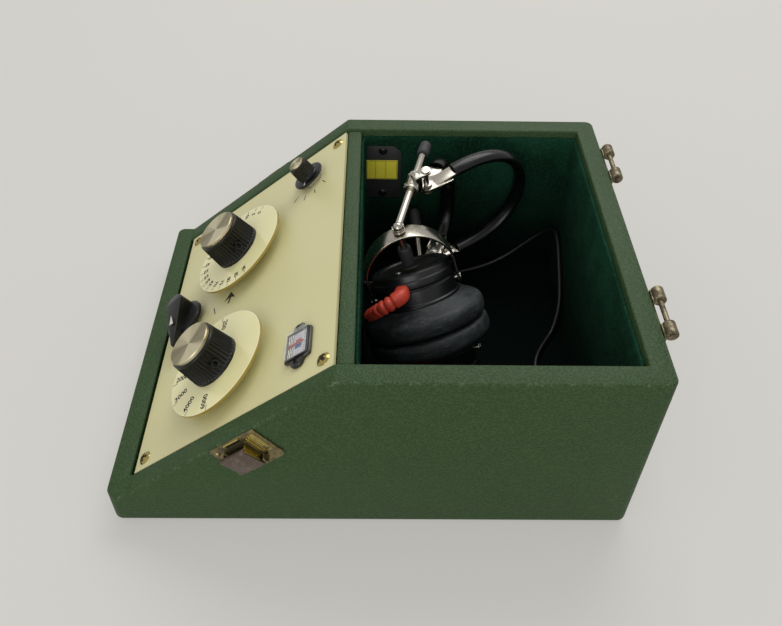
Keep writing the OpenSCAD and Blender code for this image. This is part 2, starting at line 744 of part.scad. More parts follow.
module panel_plate() color("#c6c09a") difference() {
    on_slope(0, panel_s0, panel_bottom) translate([-panel_w / 2, 0, 0])
        cube([panel_w, panel_s1 - panel_s0, panel_t]);
    panel_screw_holes(screw_r + fit_gap);
    for (p = control_places()) on_slope(p[0], p[1], panel_bottom - 1)
        cylinder(r = bushing_r + bushing_gap, h = panel_t + 2);
    on_slope(meter_x, meter_s, panel_bottom)
        cube([meter_body_w() + 0.4, meter_body_d() + 0.4, 3 * panel_t], center = true);
    for (k = [-1, 1]) on_slope(meter_x + k * meter_screw_pitch / 2, meter_s, panel_bottom - 1)
        cylinder(r = meter_screw_r + fit_gap, h = panel_t + 2);
}

function control_places() = [[decibel_x, decibel_s], [frequency_x, frequency_s],
    [selector_x, selector_s], [pointer_x, pointer_s]];
function meter_body_w() = window_w - 2;
function meter_body_d() = window_d - 2;

module control_nuts() color("#b5aea2") for (p = control_places()) on_slope(p[0], p[1], panel_top)
    difference() {
        cylinder(r = nut_af / 2 / cos(30), h = nut_t, $fn = 6);
        translate([0, 0, -1]) cylinder(r = bushing_r, h = nut_t + 2);
    }

module cover_plate() color("#2e2f2f") difference() {
    translate([-felt_x + cover_t, 0, 0]) rotate([90, 0, -90]) linear_extrude(cover_t)
        polygon([[-cover_y0, cover_z0], [-cover_y0 - cover_w, cover_z0],
            [-cover_y0 - cover_w, cover_z0 + cover_h - 4], [-cover_y0 - cover_w + 4, cover_z0 + cover_h],
            [-cover_y0, cover_z0 + cover_h]]);
    for (p = cover_screw_places()) translate([-felt_x - 1, p[0], p[1]])
        rotate([0, 90, 0]) cylinder(r = screw_r + fit_gap, h = cover_t + 2);
}

function cover_screw_places() = [for (z = [cover_z0 + cover_screw_inset, cover_z0 + cover_h - cover_screw_inset])
    [cover_y0 + cover_w / 2, z]];

module black_screws() color("#202020") {
    for (p = cover_screw_places()) translate([-felt_x + cover_t, p[0], p[1]]) rotate([0, 90, 0])
        domed_screw(2.6, 1.2, screw_r, cover_screw_len);
    for (k = [-1, 1]) on_slope(meter_x + k * meter_screw_pitch / 2, meter_s, meter_top)
        domed_screw(1.7, 0.9, meter_screw_r, meter_screw_len);
}

// ---- Dial controls ----

module dial_disc(x, s) on_slope(x, s, dial_lift) color("#d6d29c") difference() {
    cylinder(r = dial_r, h = dial_t, $fn = 96);
    translate([0, 0, -1]) cylinder(r = shaft_r + fit_gap, h = dial_t + 2);
}

module dial_knob(x, s) on_slope(x, s, dial_top) color("#1b1b1b") difference() {
    cylinder(r1 = knob_base_r, r2 = knob_top_r, h = knob_h);
    translate([0, 0, -1]) cylinder(r = shaft_r + fit_gap, h = knob_bore_d + 1);
    for (k = [0:flutes - 1]) rotate([0, 0, 360 * k / flutes]) translate([knob_base_r + 0.5, 0, 0])
        rotate([0, atan2(knob_top_r - knob_base_r, knob_h), 0]) translate([0, 0, -1])
            cylinder(r = 1.1, h = knob_h - 1.6, $fn = 24);
}

module dial_cap(x, s) on_slope(x, s, knob_top) color("#a89f8a") rotate_extrude()
    polygon([[0, 0], [cap_r, 0], [cap_r, cap_t - 0.5], [cap_r - 0.5, cap_t], [0, cap_t]]);

module control_shaft(x, s, top, depth) on_slope(x, s, panel_bottom - depth) color("#b5aea2")
    cylinder(r = shaft_r, h = top - panel_bottom + depth);

module decibel_dial() dial_disc(decibel_x, decibel_s);

module decibel_knob() dial_knob(decibel_x, decibel_s);

module decibel_cap() dial_cap(decibel_x, decibel_s);

module decibel_shaft() control_shaft(decibel_x, decibel_s, dial_top + knob_bore_d - 0.5, attenuator_d - 3);

module frequency_dial() dial_disc(frequency_x, frequency_s);

module frequency_knob() dial_knob(frequency_x, frequency_s);

module frequency_cap() dial_cap(frequency_x, frequency_s);

module frequency_shaft() control_shaft(frequency_x, frequency_s, dial_top + knob_bore_d - 0.5, switch_d - 1);

// The threaded bushing of a control, from its body up through the panel
module bushing(top) {
    cylinder(r = bushing_r, h = top - panel_bottom);
}

module shaft_bore(depth) {
    translate([0, 0, -depth - 1]) cylinder(r = shaft_r + shaft_gap, h = depth + 10);
}

module attenuator_body() color("#8d8d86") on_slope(decibel_x, decibel_s, panel_bottom) difference() {
    union() {
        bushing(bushing_top);
        translate([0, 0, -attenuator_d]) cylinder(r = attenuator_r, h = attenuator_d);
    }
    shaft_bore(attenuator_d);
}

// The rotary switch: a front plate and two wafers on two long screws
module frequency_switch() color("#a58a5c") on_slope(frequency_x, frequency_s, panel_bottom) difference() {
    union() {
        bushing(bushing_top);
        for (z = [0, -switch_d / 2, -switch_d + 1.6]) translate([0, 0, z - 1.6])
            cylinder(r = switch_r, h = 1.6);
        for (k = [-1, 1]) translate([k * (switch_r - 4), 0, -switch_d]) cylinder(r = 1.5, h = switch_d);
    }
    shaft_bore(switch_d);
}

module small_switches() color("#8d8d86")
    for (p = [[selector_x, selector_s], [pointer_x, pointer_s]]) on_slope(p[0], p[1], panel_bottom)
        difference() {
            union() {
                bushing(knob_base_h - 0.2);
                translate([0, 0, -small_switch_d]) cylinder(r = small_switch_r, h = small_switch_d);
            }
            shaft_bore(small_switch_d);
        }

module selector_knob() color("#3a3d38") on_slope(selector_x, selector_s, knob_base_h) difference() {
    union() {
        cylinder(r = selector_r, h = 1.2);
        cylinder(r1 = selector_hub_r + 0.4, r2 = selector_hub_r, h = selector_h - knob_base_h);
    }
    translate([0, 0, -1]) cylinder(r = shaft_r + fit_gap, h = small_bore_d + 1);
}

module selector_cap() color("#c9c2ae") on_slope(selector_x, selector_s, selector_h)
    cylinder(r = selector_hub_r - 1.2, h = 1.3);

module selector_shaft() control_shaft(selector_x, selector_s, knob_base_h + small_bore_d - 0.5, small_switch_d - 2);

// The pointer knob: a round base under a bar with a round tail and a narrow tip
module pointer_knob() {
    tip_r = 1.2;
    tail_x = pointer_base_r - pointer_tail_r;
    bar_h = pointer_h - knob_base_h;
    span = pointer_reach - tip_r + tail_x;
    lean = asin((pointer_tail_r - tip_r) / span);
    color("#232423") on_slope(pointer_x, pointer_s, knob_base_h) difference() {
        union() {
            cylinder(r = pointer_base_r, h = 2.6);
            linear_extrude(bar_h) union() {
                translate([-tail_x, 0]) circle(pointer_tail_r);
                translate([pointer_reach - tip_r, 0]) circle(tip_r);
                polygon([for (k = [-1, 1]) each [for (e = (k < 0 ? [0, 1] : [1, 0]))
                    [e * span - tail_x, 0] + (e == 0 ? pointer_tail_r : tip_r) * [sin(lean), k * cos(lean)]]]);
            }
        }
        translate([0, 0, bar_h]) rotate([0, atan2(pointer_h - pointer_tip_h, pointer_reach), 0])
            translate([0, -20, 0]) cube([60, 40, 20]);
        translate([0, 0, -1]) cylinder(r = shaft_r + fit_gap, h = small_bore_d + 1);
    }
}

module pointer_shaft() control_shaft(pointer_x, pointer_s, knob_base_h + small_bore_d - 1, small_switch_d - 2);

// ---- Meter ----

module meter_housing() color("#1d1d1d") on_slope(meter_x, meter_s, 0) difference() {
    union() {
        translate([0, 0, (panel_top + meter_top) / 2])
            cube([meter_w, meter_d, meter_top - panel_top], center = true);
        translate([0, 0, (panel_top - meter_depth) / 2])
            cube([meter_body_w(), meter_body_d(), meter_depth + panel_top + tiny], center = true);
    }
    for (k = [-1, 1]) translate([k * meter_screw_pitch / 2, 0, -5]) cylinder(r = meter_screw_r + fit_gap, h = 10);
    translate([0, -needle_len / 2, meter_top - 3]) cylinder(r = needle_pivot_r + shaft_gap, h = 5);
}

module meter_window() color("#d8dde0", 0.4) on_slope(meter_x, meter_s, meter_top) difference() {
    translate([0, 0, window_h / 2]) cube([window_w, window_d, window_h], center = true);
    translate([0, 0, (window_h - window_t) / 2])
        cube([window_w - 2 * window_t, window_d - 2 * window_t, window_h - window_t + tiny], center = true);
}

module meter_needle() color("#b03028") on_slope(meter_x, meter_s, meter_top + needle_lift) {
    translate([0, -needle_len / 2, -2.4]) cylinder(r = needle_pivot_r, h = 2.4 + needle_t);
    translate([-0.3, -needle_len / 2, 0]) cube([0.6, needle_len, needle_t]);
}

// ---- Inside, below the panel ----

board_y0 = slope_y0 + 38;
board_z = floor_t + spacer_h;

function spacer_places() = [for (x = [-1, 1], y = [5, board_d - 5]) [x * (board_w / 2 - 5), board_y0 + y]];

module circuit_board() color("#8a6a2f") difference() {
    union() {
        box_between([-board_w / 2, board_y0, board_z], [board_w / 2, board_y0 + board_d, board_z + board_t]);
        for (k = [0:3]) translate([-board_w / 2 + 22 + 15 * k, board_y0 + 14, board_z + board_t])
            cylinder(r = 2.4 + 0.5 * (k % 2), h = 6, $fn = 32);
        for (k = [0:5]) box_between([-board_w / 2 + 16 + 12 * k, board_y0 + 26, board_z + board_t],
            [-board_w / 2 + 24 + 12 * k, board_y0 + 28.5, board_z + board_t + 2.5]);
    }
    for (p = spacer_places()) translate([p[0], p[1], board_z - 1]) cylinder(r = 1.6, h = board_t + 2);
}

module board_spacers() color("#c9b98a") for (p = spacer_places()) translate([p[0], p[1], floor_t])
    cylinder(r = 3, h = spacer_h);

// A laminated core with its winding, on a folded bracket
module output_transformer() color("#5b5b58")
    translate([-in_w / 2 + transformer_inset, board_y0 + transformer_back, floor_t]) {
        translate([0, 0, transformer_h / 2]) cube([transformer_w, core_d, transformer_h], center = true);
        translate([0, 0, transformer_h / 2]) cube([winding_w, winding_d, winding_h], center = true);
        translate([-transformer_w / 2, -foot_d / 2, 0]) cube([transformer_w, foot_d, foot_t]);
    }

function battery_low() = [in_w / 2 - battery_w - clip_t - 2, board_y0 + 2, floor_t + clip_t];

module battery() color("#4a4f57") {
    low = battery_low();
    box_between(low, low + [battery_w, battery_l, battery_h]);
    for (k = [0.28, 0.72]) translate(low + [battery_w * k, 0, battery_h / 2]) rotate([90, 0, 0])
        cylinder(r = 3, h = 2, $fn = 32);
}

module battery_clip() color("#b5aea2") difference() {
    low = battery_low();
    box_between(low + [-clip_t, battery_l / 2 - 8, -clip_t], low + [battery_w + clip_t, battery_l / 2 + 8, battery_h * 0.8]);
    box_between(low + [0, 0, 0], low + [battery_w, battery_l, battery_h]);
}

module cord_grommet() color("#232323") translate([cord_exit[0], partition_y, cord_exit[2]]) rotate([-90, 0, 0])
    difference() {
        union() {
            translate([0, 0, -1.2]) cylinder(r = cord_hole_r + 1.4, h = 1.2);
            cylinder(r = cord_hole_r, h = partition_t);
            translate([0, 0, partition_t]) cylinder(r = cord_hole_r + 1.4, h = 1.4);
        }
        translate([0, 0, -2]) cylinder(r = cord_d / 2 + 0.3, h = partition_t + 5);
    }

// ---- Headset ----

module cushion(side) color("#2b2d2f") on_ear(side) rotate_extrude($fn = 72) difference() {
    union() {
        translate([cushion_hole_r, 2]) square([cushion_r - cushion_hole_r, cushion_t - 7]);
        translate([cushion_hole_r + 2, 0]) square([cushion_r - cushion_hole_r - 5, 3]);
        translate([cushion_r - 3, 3]) circle(3, $fn = 32);
        translate([cushion_hole_r + 2, 2]) circle(2, $fn = 32);
        polygon([[cushion_hole_r, cushion_t - 6], [cushion_r, cushion_t - 6],
            [receiver_r + 2.5, cushion_t], [cushion_hole_r, cushion_t]]);
    }
    translate([-1, 0]) square([1, cushion_t]);
}

module receiver(side) color("#1e1e1e") on_ear(side) {
    difference() {
        union() {
            translate([0, 0, receiver_h0]) cylinder(r = receiver_r, h = receiver_h + tiny);
            translate([0, 0, receiver_h0 + receiver_h]) rotate_extrude() polygon([[0, 0], [receiver_cap_r, 0],
                [receiver_cap_r, receiver_cap_h - 1.5], [receiver_cap_r - 1.5, receiver_cap_h],
                [0, receiver_cap_h]]);
            translate([0, 0, pivot_h]) rotate([0, 90, 0])
                cylinder(r = pivot_r, h = 2 * (yoke_in + yoke_t + 0.6), center = true);
            mirror([0, side < 0 ? 0 : 1, 0]) boot();
        }
        mirror([0, side < 0 ? 0 : 1, 0]) boot_mouth();
    }
}

// The moulded relief where the lead leaves a receiver: it bends round the side of the body
boot_root = [-7, -19, 25];
boot_bend = [-9, -27.5, 24.5];
boot_end = [-25.5, -17.5, 18];

module boot() {
    hull() {
        translate(boot_root) sphere(4, $fn = 24);
        translate(boot_bend) sphere(4.2, $fn = 24);
    }
    hull() {
        translate(boot_bend) sphere(4.2, $fn = 24);
        translate((boot_bend + boot_end) / 2 + [-2.5, -3.5, 0]) sphere(4, $fn = 24);
    }
    hull() {
        translate((boot_bend + boot_end) / 2 + [-2.5, -3.5, 0]) sphere(4, $fn = 24);
        translate(boot_end) sphere(3.4, $fn = 24);
    }
}

module boot_mouth() {
    along(boot_end + unit(boot_end - boot_bend) * 6, boot_bend - boot_end) cylinder(r = cord_d / 2 + 0.6, h = 6);
}

// A yoke: a bent strip, wide at its top and narrow at its two pivots
module yoke(side) {
    outer = yoke_in + yoke_t;
    arch_z = yoke_top - outer;
    foot = 2.6;
    color("#b5aea2") on_yoke_frame(side) difference() {
        intersection() {
            rotate([90, 0, 0]) linear_extrude(2 * yoke_w, center = true) difference() {
                union() {
                    translate([-outer, -foot]) square([2 * outer, arch_z + foot]);
                    translate([0, arch_z]) circle(outer);
                }
                translate([-yoke_in, -foot - 1]) square([2 * yoke_in, arch_z + foot + 1]);
                translate([0, arch_z]) circle(yoke_in);
            }
            rotate([90, 0, 90]) linear_extrude(3 * outer, center = true) union() {
                circle(foot, $fn = 32);
                polygon([[-foot, 0], [foot, 0], [yoke_w / 2, yoke_reach - 8], [yoke_w / 2, yoke_reach + 5],
                    [-yoke_w / 2, yoke_reach + 5], [-yoke_w / 2, yoke_reach - 8]]);
            }
        }
        rotate([0, 90, 0]) cylinder(r = pivot_r + shaft_gap, h = 3 * outer, center = true);
        cylinder(r = stub_pin_r + shaft_gap, h = 2 * yoke_reach);
    }
}

// A rod: a stub through the yoke, a round knuckle above it and the long rod
module rod(side) {
    i = side < 0 ? 0 : 1;
    stub_in = side < 0 ? stub_in_upper : stub_in_lower;
    color("#b5aea2") {
        on_yoke_frame(side) {
            translate([0, 0, yoke_reach - stub_in + 3]) cylinder(r = stub_pin_r, h = stub_in + knuckle_out - 3);
            translate([0, 0, yoke_reach + knuckle_out]) sphere(knuckle_ball_r);
        }
        along(rod_from[i], rod_dir[i]) cylinder(r = rod_r, h = rod_len - 3);
    }
}

// The rubber tips: one on the far end of the rod, one on the stub inside the yoke
module rod_tips(side) {
    i = side < 0 ? 0 : 1;
    stub_in = side < 0 ? stub_in_upper : stub_in_lower;
    stub_tip_len = stub_in - 3.5;
    color("#1f1f1f") {
        along(rod_point(i, rod_len - tip_len), rod_dir[i]) rubber_tip(rod_r, tip_len, tip_r);
        on_yoke_frame(side) translate([0, 0, yoke_reach - stub_in + min(stub_tip_len, tip_len)]) rotate([180, 0, 0])
            rubber_tip(stub_pin_r, min(stub_tip_len, tip_len), tip_r);
    }
}

module rubber_tip(bore_r, length, r) {
    difference() {
        rotate_extrude() intersection() {
            union() {
                square([r, length - 2]);
                square([r - 2, length]);
                translate([r - 2, length - 2]) circle(2, $fn = 32);
            }
            square([r, length]);
        }
        translate([0, 0, -1]) cylinder(r = bore_r, h = length - 2);
    }
}

// One clamp on each rod, with a pin that carries the wings of both springs
module headset_clamps() color("#c4c0b6") for (i = [0, 1]) {
    inward = i == 0 ? band_axis : -band_axis;
    hub = hub_mid - inward * band_half;
    difference() {
        union() {
            along(clamp_point[i] - 7 * rod_dir[i], rod_dir[i], band_axis) cylinder(r = rod_r + 2, h = 14);
            along(hub - inward * clamp_face, inward, band_out(0)) {
                translate([-clamp_side, -3, 0]) cube([clamp_side, 6, 2 * clamp_face]);
                cylinder(r = 3, h = 2 * clamp_face, $fn = 32);
                cylinder(r = wing_pin_r, h = clamp_face + wing_at[1] + wing_t + 0.8);
            }
        }
        along(clamp_point[i] - 20 * rod_dir[i], rod_dir[i]) cylinder(r = rod_r + shaft_gap, h = 40);
    }
}

// A spring with a wing on each end, riveted through, and a sleeve over its middle
module headband(i) {
    t0 = band_angle(i, strip_reach);
    t1 = band_angle(i, sleeve_reach);
    strip = [for (k = [0:band_steps]) t0 + (180 - 2 * t0) * k / band_steps];
    sleeve = [for (k = [0:band_steps]) t1 + (180 - 2 * t1) * k / band_steps];
    color("#1d1d1d") union() {
        swept([for (t = strip) band_point(i, t)], [for (t = strip) band_normal(i, t)],
            band_w / 2, band_t / 2, 8);
        swept([for (t = sleeve) band_point(i, t)], [for (t = sleeve) band_normal(i, t)],
            sleeve_w / 2, sleeve_t / 2, 12);
        for (end = [-1, 1]) headband_wing(i, end);
    }
}

// A flat wing with an eye for the pin; its spring lies on its inner face
module headband_wing(i, end) {
    along(hub_mid + end * band_axis * (band_half - wing_at[i]), -end * band_axis, band_out(i)) {
        difference() {
            union() {
                cylinder(r = wing_w / 2, h = wing_t);
                translate([0, -wing_w / 2, 0]) cube([wing_len, wing_w, wing_t]);
            }
            translate([0, 0, -1]) cylinder(r = wing_pin_r + shaft_gap, h = wing_t + 2);
        }
        for (x = [9, 13]) translate([x, 0, wing_t]) cylinder(r = 1.2, h = band_t + 0.4, $fn = 24);
    }
}

module headband_front() headband(0);

module headband_rear() headband(1);

module rod_upper() rod(-1);

module rod_lower() rod(1);

module rod_tips_upper() rod_tips(-1);

module rod_tips_lower() rod_tips(1);

module yoke_upper() yoke(-1);

module yoke_lower() yoke(1);

module receiver_upper() receiver(-1);

module receiver_lower() receiver(1);

module cushion_upper() cushion(-1);

module cushion_lower() cushion(1);

module headset_cord() color("#1c1c1c") cord_tube(cord_route, cord_d);

module cord_coil() color("#1c1c1c") translate([coil_at[0], coil_at[1], felt_floor])
    rotate_extrude() translate([coil_r - coil_w / 2, 0]) square([coil_w, coil_h]);

module headset_leads() color("#1c1c1c") {
    cord_tube(lead_routes[0], lead_d, lead_off_route, lead_steps);
    cord_tube(lead_routes[1], lead_d, lead_off_route, lead_steps);
}

case_bottom();
case_side_left();
case_side_right();
case_front();
case_back();
partition();
panel_cleats();
felt_lining();
back_studs();
hinge_leaves();
steel_pins();
brass_screws();
latch_plates();
latch_lever_left();
latch_lever_right();
panel_plate();
cover_plate();
black_screws();
decibel_dial();
decibel_knob();
decibel_cap();
decibel_shaft();
frequency_dial();
frequency_knob();
frequency_cap();
frequency_shaft();
attenuator_body();
frequency_switch();
small_switches();
control_nuts();
selector_knob();
selector_cap();
selector_shaft();
pointer_knob();
pointer_shaft();
meter_housing();
meter_window();
meter_needle();
circuit_board();
board_spacers();
output_transformer();
battery();
battery_clip();
cord_grommet();
headset_clamps();
headband_front();
headband_rear();
rod_upper();
rod_lower();
rod_tips_upper();
rod_tips_lower();
yoke_upper();
yoke_lower();
receiver_upper();
receiver_lower();
cushion_upper();
cushion_lower();
headset_cord();
cord_coil();
headset_leads();
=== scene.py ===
"""A portable audiometer in a slope-fronted case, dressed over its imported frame.

The case is covered in green leathercloth and lined with felt. Its sloped panel carries two numbered
dials, a selector, a pointer knob and an edgewise meter, and its headset lies in the rear compartment.
Lengths in the making functions are in millimetres, like the part's own source. Meshes are in metres.
"""

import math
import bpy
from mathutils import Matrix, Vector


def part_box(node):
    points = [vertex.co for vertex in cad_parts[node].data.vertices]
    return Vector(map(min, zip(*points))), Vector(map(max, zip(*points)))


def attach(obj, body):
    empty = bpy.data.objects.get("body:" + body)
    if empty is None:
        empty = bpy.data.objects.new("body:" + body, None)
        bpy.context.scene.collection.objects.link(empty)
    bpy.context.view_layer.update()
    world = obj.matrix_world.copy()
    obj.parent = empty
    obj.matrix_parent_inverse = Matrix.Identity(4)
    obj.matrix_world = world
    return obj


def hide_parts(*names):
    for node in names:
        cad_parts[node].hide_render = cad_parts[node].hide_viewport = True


bl_info = {
    "name": "Slope-fronted audiometer",
    "version": (1, 0, 0),
    "blender": (4, 5, 0),
    "location": "View3D > Sidebar > Audiometer",
    "description": "Dresses the audiometer's frame with its case, controls and headset",
    "category": "Object",
}

from functools import partial
from random import Random

import bmesh
import bpy
from mathutils import Matrix, Vector, noise

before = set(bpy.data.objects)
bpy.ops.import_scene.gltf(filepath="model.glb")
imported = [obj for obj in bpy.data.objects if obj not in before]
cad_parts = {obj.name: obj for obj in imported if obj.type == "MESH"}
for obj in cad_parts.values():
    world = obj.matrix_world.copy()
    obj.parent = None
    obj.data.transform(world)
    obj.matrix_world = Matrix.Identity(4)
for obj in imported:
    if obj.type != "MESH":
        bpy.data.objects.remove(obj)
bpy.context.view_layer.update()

MM = 0.001
UP = Vector((0, 0, 1))


def node_box(node):
    """The low and high corners of a CAD node, in millimetres."""
    return [Vector(corner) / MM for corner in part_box(node)]


# ---- Driving sizes and places, in millimetres ----

SIDE_LOW, SIDE_HIGH = node_box("case_side_right")
FRONT_HIGH = node_box("case_front")[1]
PARTITION_LOW, PARTITION_HIGH = node_box("partition")
FELT_LOW, FELT_HIGH = node_box("felt_lining")
CASE_HALF_W = SIDE_HIGH.x
CASE_HALF_D = SIDE_HIGH.y
CASE_H = SIDE_HIGH.z
ROOM_HALF_W = SIDE_LOW.x
FLOOR_T = node_box("case_bottom")[1].z
SLOPE_FOOT_Y = FRONT_HIGH.y
FRONT_H = FRONT_HIGH.z
SLOPE_DEG = 39
SLOPE = math.radians(SLOPE_DEG)
BREAK_Y = SLOPE_FOOT_Y + (CASE_H - FRONT_H) / math.tan(SLOPE)
FELT_T = 1.2
PANEL_H = -0.8
DIAL_LIFT = 5.0
DIAL_T = 1.6
DIAL_R = 30.2
DIAL_BORE_R = 3.4
DIAL_TOP = DIAL_LIFT + DIAL_T
KNOB_BASE_R = 14.2
KNOB_TOP_R = 13.0
KNOB_H = 15.2
CAP_R = 12.0
CAP_T = 1.8
DECIBEL_AT = (-32.1, 58.6)
FREQUENCY_AT = (53.1, 58.0)
SELECTOR_AT = (-64.5, 105.0)
POINTER_AT = (-3.0, 18.5)
METER_AT = (67.0, 108.5)


def shift(x=0.0, y=0.0, z=0.0):
    """A move within a frame."""
    return Matrix.Translation((x, y, z))


def spin(degrees, axis="Z"):
    """A turn within a frame."""
    return Matrix.Rotation(math.radians(degrees), 4, axis)


# Carries X to Y, Y to Z and Z to X.
CYCLE = Matrix(((0, 0, 1, 0), (1, 0, 0, 0), (0, 1, 0, 0), (0, 0, 0, 1)))


def slope_frame(x, s, h=0.0):
    """The place on the sloped front at x across, s up the slope and h out of it."""
    return shift(0, SLOPE_FOOT_Y, FRONT_H) @ spin(SLOPE_DEG, "X") @ shift(x, s, h)


def side_frame(side):
    """A side wall's own frame: X up the slope, Y square to the slope, Z out of the wall."""
    right = shift(CASE_HALF_W, SLOPE_FOOT_Y, FRONT_H) @ spin(SLOPE_DEG, "X") @ CYCLE
    return Matrix.Diagonal((side, 1, 1, 1)) @ right


def along(at, z_dir, x_hint=UP):
    """A frame at a point with its Z along a direction and its X as near as can be to another."""
    z = Vector(z_dir).normalized()
    y = z.cross(Vector(x_hint)).normalized()
    x = y.cross(z)
    return Matrix.Translation(at) @ Matrix((x, y, z)).transposed().to_4x4()


# ---- Shader maths ----

def rgb(code):
    """A colour written as in a paint chart, as the linear values that shaders take."""
    parts = [int(code[k:k + 2], 16) / 255 for k in (1, 3, 5)]
    return tuple(((p + 0.055) / 1.055) ** 2.4 if p > 0.04045 else p / 12.92 for p in parts) + (1.0,)


class Value:
    """A socket that can stand in a sum: each operator adds the Math node that it needs."""

    def __init__(self, owner, socket):
        self.owner = owner
        self.socket = socket

    def join(self, operation, *parts):
        return self.owner.node("ShaderNodeMath", {"operation": operation}, *parts)

    def __add__(self, other):
        return self.join("ADD", self, other)

    __radd__ = __add__

    def __sub__(self, other):
        return self.join("SUBTRACT", self, other)

    def __rsub__(self, other):
        return self.join("SUBTRACT", other, self)

    def __mul__(self, other):
        return self.join("MULTIPLY", self, other)

    __rmul__ = __mul__

    def __truediv__(self, other):
        return self.join("DIVIDE", self, other)

    def __abs__(self):
        return self.join("ABSOLUTE", self)

    def __pow__(self, other):
        return self.join("POWER", self, other)

    def sine(self):
        return self.join("SINE", self)

    def angle_from(self, other):
        """The angle of the point (other, self) about the origin."""
        return self.join("ARCTAN2", self, other)

    def held(self):
        """The value kept between 0 and 1."""
        return self.owner.node("ShaderNodeClamp", {}, self, 0.0, 1.0)


class Finish:
    """A material with one Principled shader, built by expressions on its sockets."""

    def __init__(self, name):
        self.material = bpy.data.materials.new(name)
        self.material.use_nodes = True
        self.tree = self.material.node_tree
        self.shader = self.tree.nodes["Principled BSDF"]
        self.place = self.node("ShaderNodeTexCoord", {}, out="Object")

    def fill(self, inputs, parts):
        """Links each value to its socket, or writes a plain number, colour or place into it."""
        for key, part in parts.items():
            if isinstance(part, Value):
                self.tree.links.new(part.socket, inputs[key])
            else:
                inputs[key].default_value = part

    def node(self, kind, settings, *parts, out=0, numbered=None, **named):
        """Adds one node: its settings first, then its sockets in order, by number or by name."""
        made = self.tree.nodes.new(kind)
        for key, value in settings.items():
            setattr(made, key, value)
        self.fill(made.inputs, {**dict(enumerate(parts)), **(numbered or {}), **named})
        return Value(self, made.outputs[out])

    def outputs(self, kind, *parts):
        """Every output of a new node."""
        return [Value(self, socket) for socket in self.node(kind, {}, *parts).socket.node.outputs]

    def set(self, **parts):
        """Sets or links the shader's own sockets, named in small letters."""
        self.fill(self.shader.inputs,
                  {key.replace("_", " ").title().replace("Ior", "IOR"): part for key, part in parts.items()})

    def bump(self, height, strength, distance):
        self.set(normal=self.node("ShaderNodeBump", {}, Height=height, Strength=strength, Distance=distance))

    def noise(self, scale, detail=2.0, rough=0.5, place=None):
        return self.node("ShaderNodeTexNoise", {}, Vector=place or self.place, Scale=scale, Detail=detail,
                         Roughness=rough, out="Fac")

    def cells(self, scale, feature="F1"):
        return self.node("ShaderNodeTexVoronoi", {"feature": feature}, Vector=self.place, Scale=scale,
                         out="Distance")

    def mix(self, amount, first, second):
        """A colour between two others."""
        return self.node("ShaderNodeMix", {"data_type": "RGBA"}, numbered={0: amount, 6: first, 7: second},
                         out=2)

    def ramp(self, value, low, high):
        """0 below low, 1 above high, and smooth between them."""
        return self.node("ShaderNodeMapRange", {"interpolation_type": "SMOOTHSTEP"}, value, low, high, 0.0,
                         1.0)

    def axes(self, matrix=None):
        """The three coordinates of the object, or of a piece's own frame, in metres."""
        place = self.place
        if matrix is not None:
            inverse = matrix.inverted()
            place = self.node("ShaderNodeMapping", {"vector_type": "POINT"}, Vector=place,
                              Location=inverse.translation * MM, Rotation=inverse.to_euler())
        return self.outputs("ShaderNodeSeparateXYZ", place)


# ---- Finishes ----

WORN_W = 0.0016
# The felt's painted shade: full below the low height, gone above the high one.
FELT_SHADE_LOW = 12.0
FELT_SHADE_HIGH = 105.0
FINISHES = {}


def finish(name):
    """The finish of that name, made when it is first asked for."""
    if name not in FINISHES:
        made = Finish(name)
        MAKERS[name](made)
        FINISHES[name] = made.material
    return FINISHES[name]


def leathercloth(f):
    """Pebbled green bookcloth, rubbed paler where two faces of the case meet."""
    look = bpy.context.scene.audiometer_case
    x, y, z = f.axes()

    def near(distance):
        return (1 - distance / WORN_W).held()

    from_slope = (SLOPE_FOOT_Y * MM - y) * (-math.sin(SLOPE)) - (z - FRONT_H * MM) * math.cos(SLOPE)
    near_top = near(CASE_H * MM - z) + near(abs(from_slope))
    edges = near_top * near(CASE_HALF_W * MM - abs(x)) + near_top * near(CASE_HALF_D * MM - abs(y))
    scuffs = f.ramp(f.noise(420.0, 5.0, 0.8), 0.5, 0.72)
    worn = (edges * 1.4 * scuffs).held()
    cloudy = f.noise(14.0, 3.0, 0.6)
    grain = f.cells(950.0)
    tone = f.mix(cloudy, look.cloth_dark, look.cloth)
    tone = f.mix(f.ramp(grain, 0.2, 0.75) * 0.6, tone, look.cloth_light)
    tone = f.mix(worn * 0.55, tone, look.cloth_worn)
    f.set(base_color=tone, roughness=0.58 - 0.12 * cloudy + worn * 0.15, specular_ior_level=0.24)
    f.bump(grain * 0.9 + f.noise(420.0, 2.0) * 0.6, 0.8, 0.0003)


def felt(f):
    """Short dark green felt, its pile brushed in patches, and darkened deep down as painted shade."""
    look = bpy.context.scene.audiometer_case
    pile = f.noise(620.0, 4.0, 0.7)
    patches = f.noise(42.0, 4.0, 0.62)
    tone = f.mix(f.ramp(patches, 0.3, 0.72), look.felt_dark, look.felt)
    tone = f.mix(f.ramp(pile, 0.46, 0.72) * 0.6, tone, look.felt_light)
    height = f.axes()[2]
    # Painted shade: the felt darkens towards the compartment's floor.
    tone = f.mix(f.ramp(height, FELT_SHADE_LOW * MM, FELT_SHADE_HIGH * MM), look.felt_deep, tone)
    f.set(base_color=tone, roughness=0.95, specular_ior_level=0.1, sheen_weight=0.12, sheen_roughness=0.6,
          sheen_tint=rgb("#2f6a4c"))
    f.bump(pile + patches * 0.8, 0.8, 0.0008)


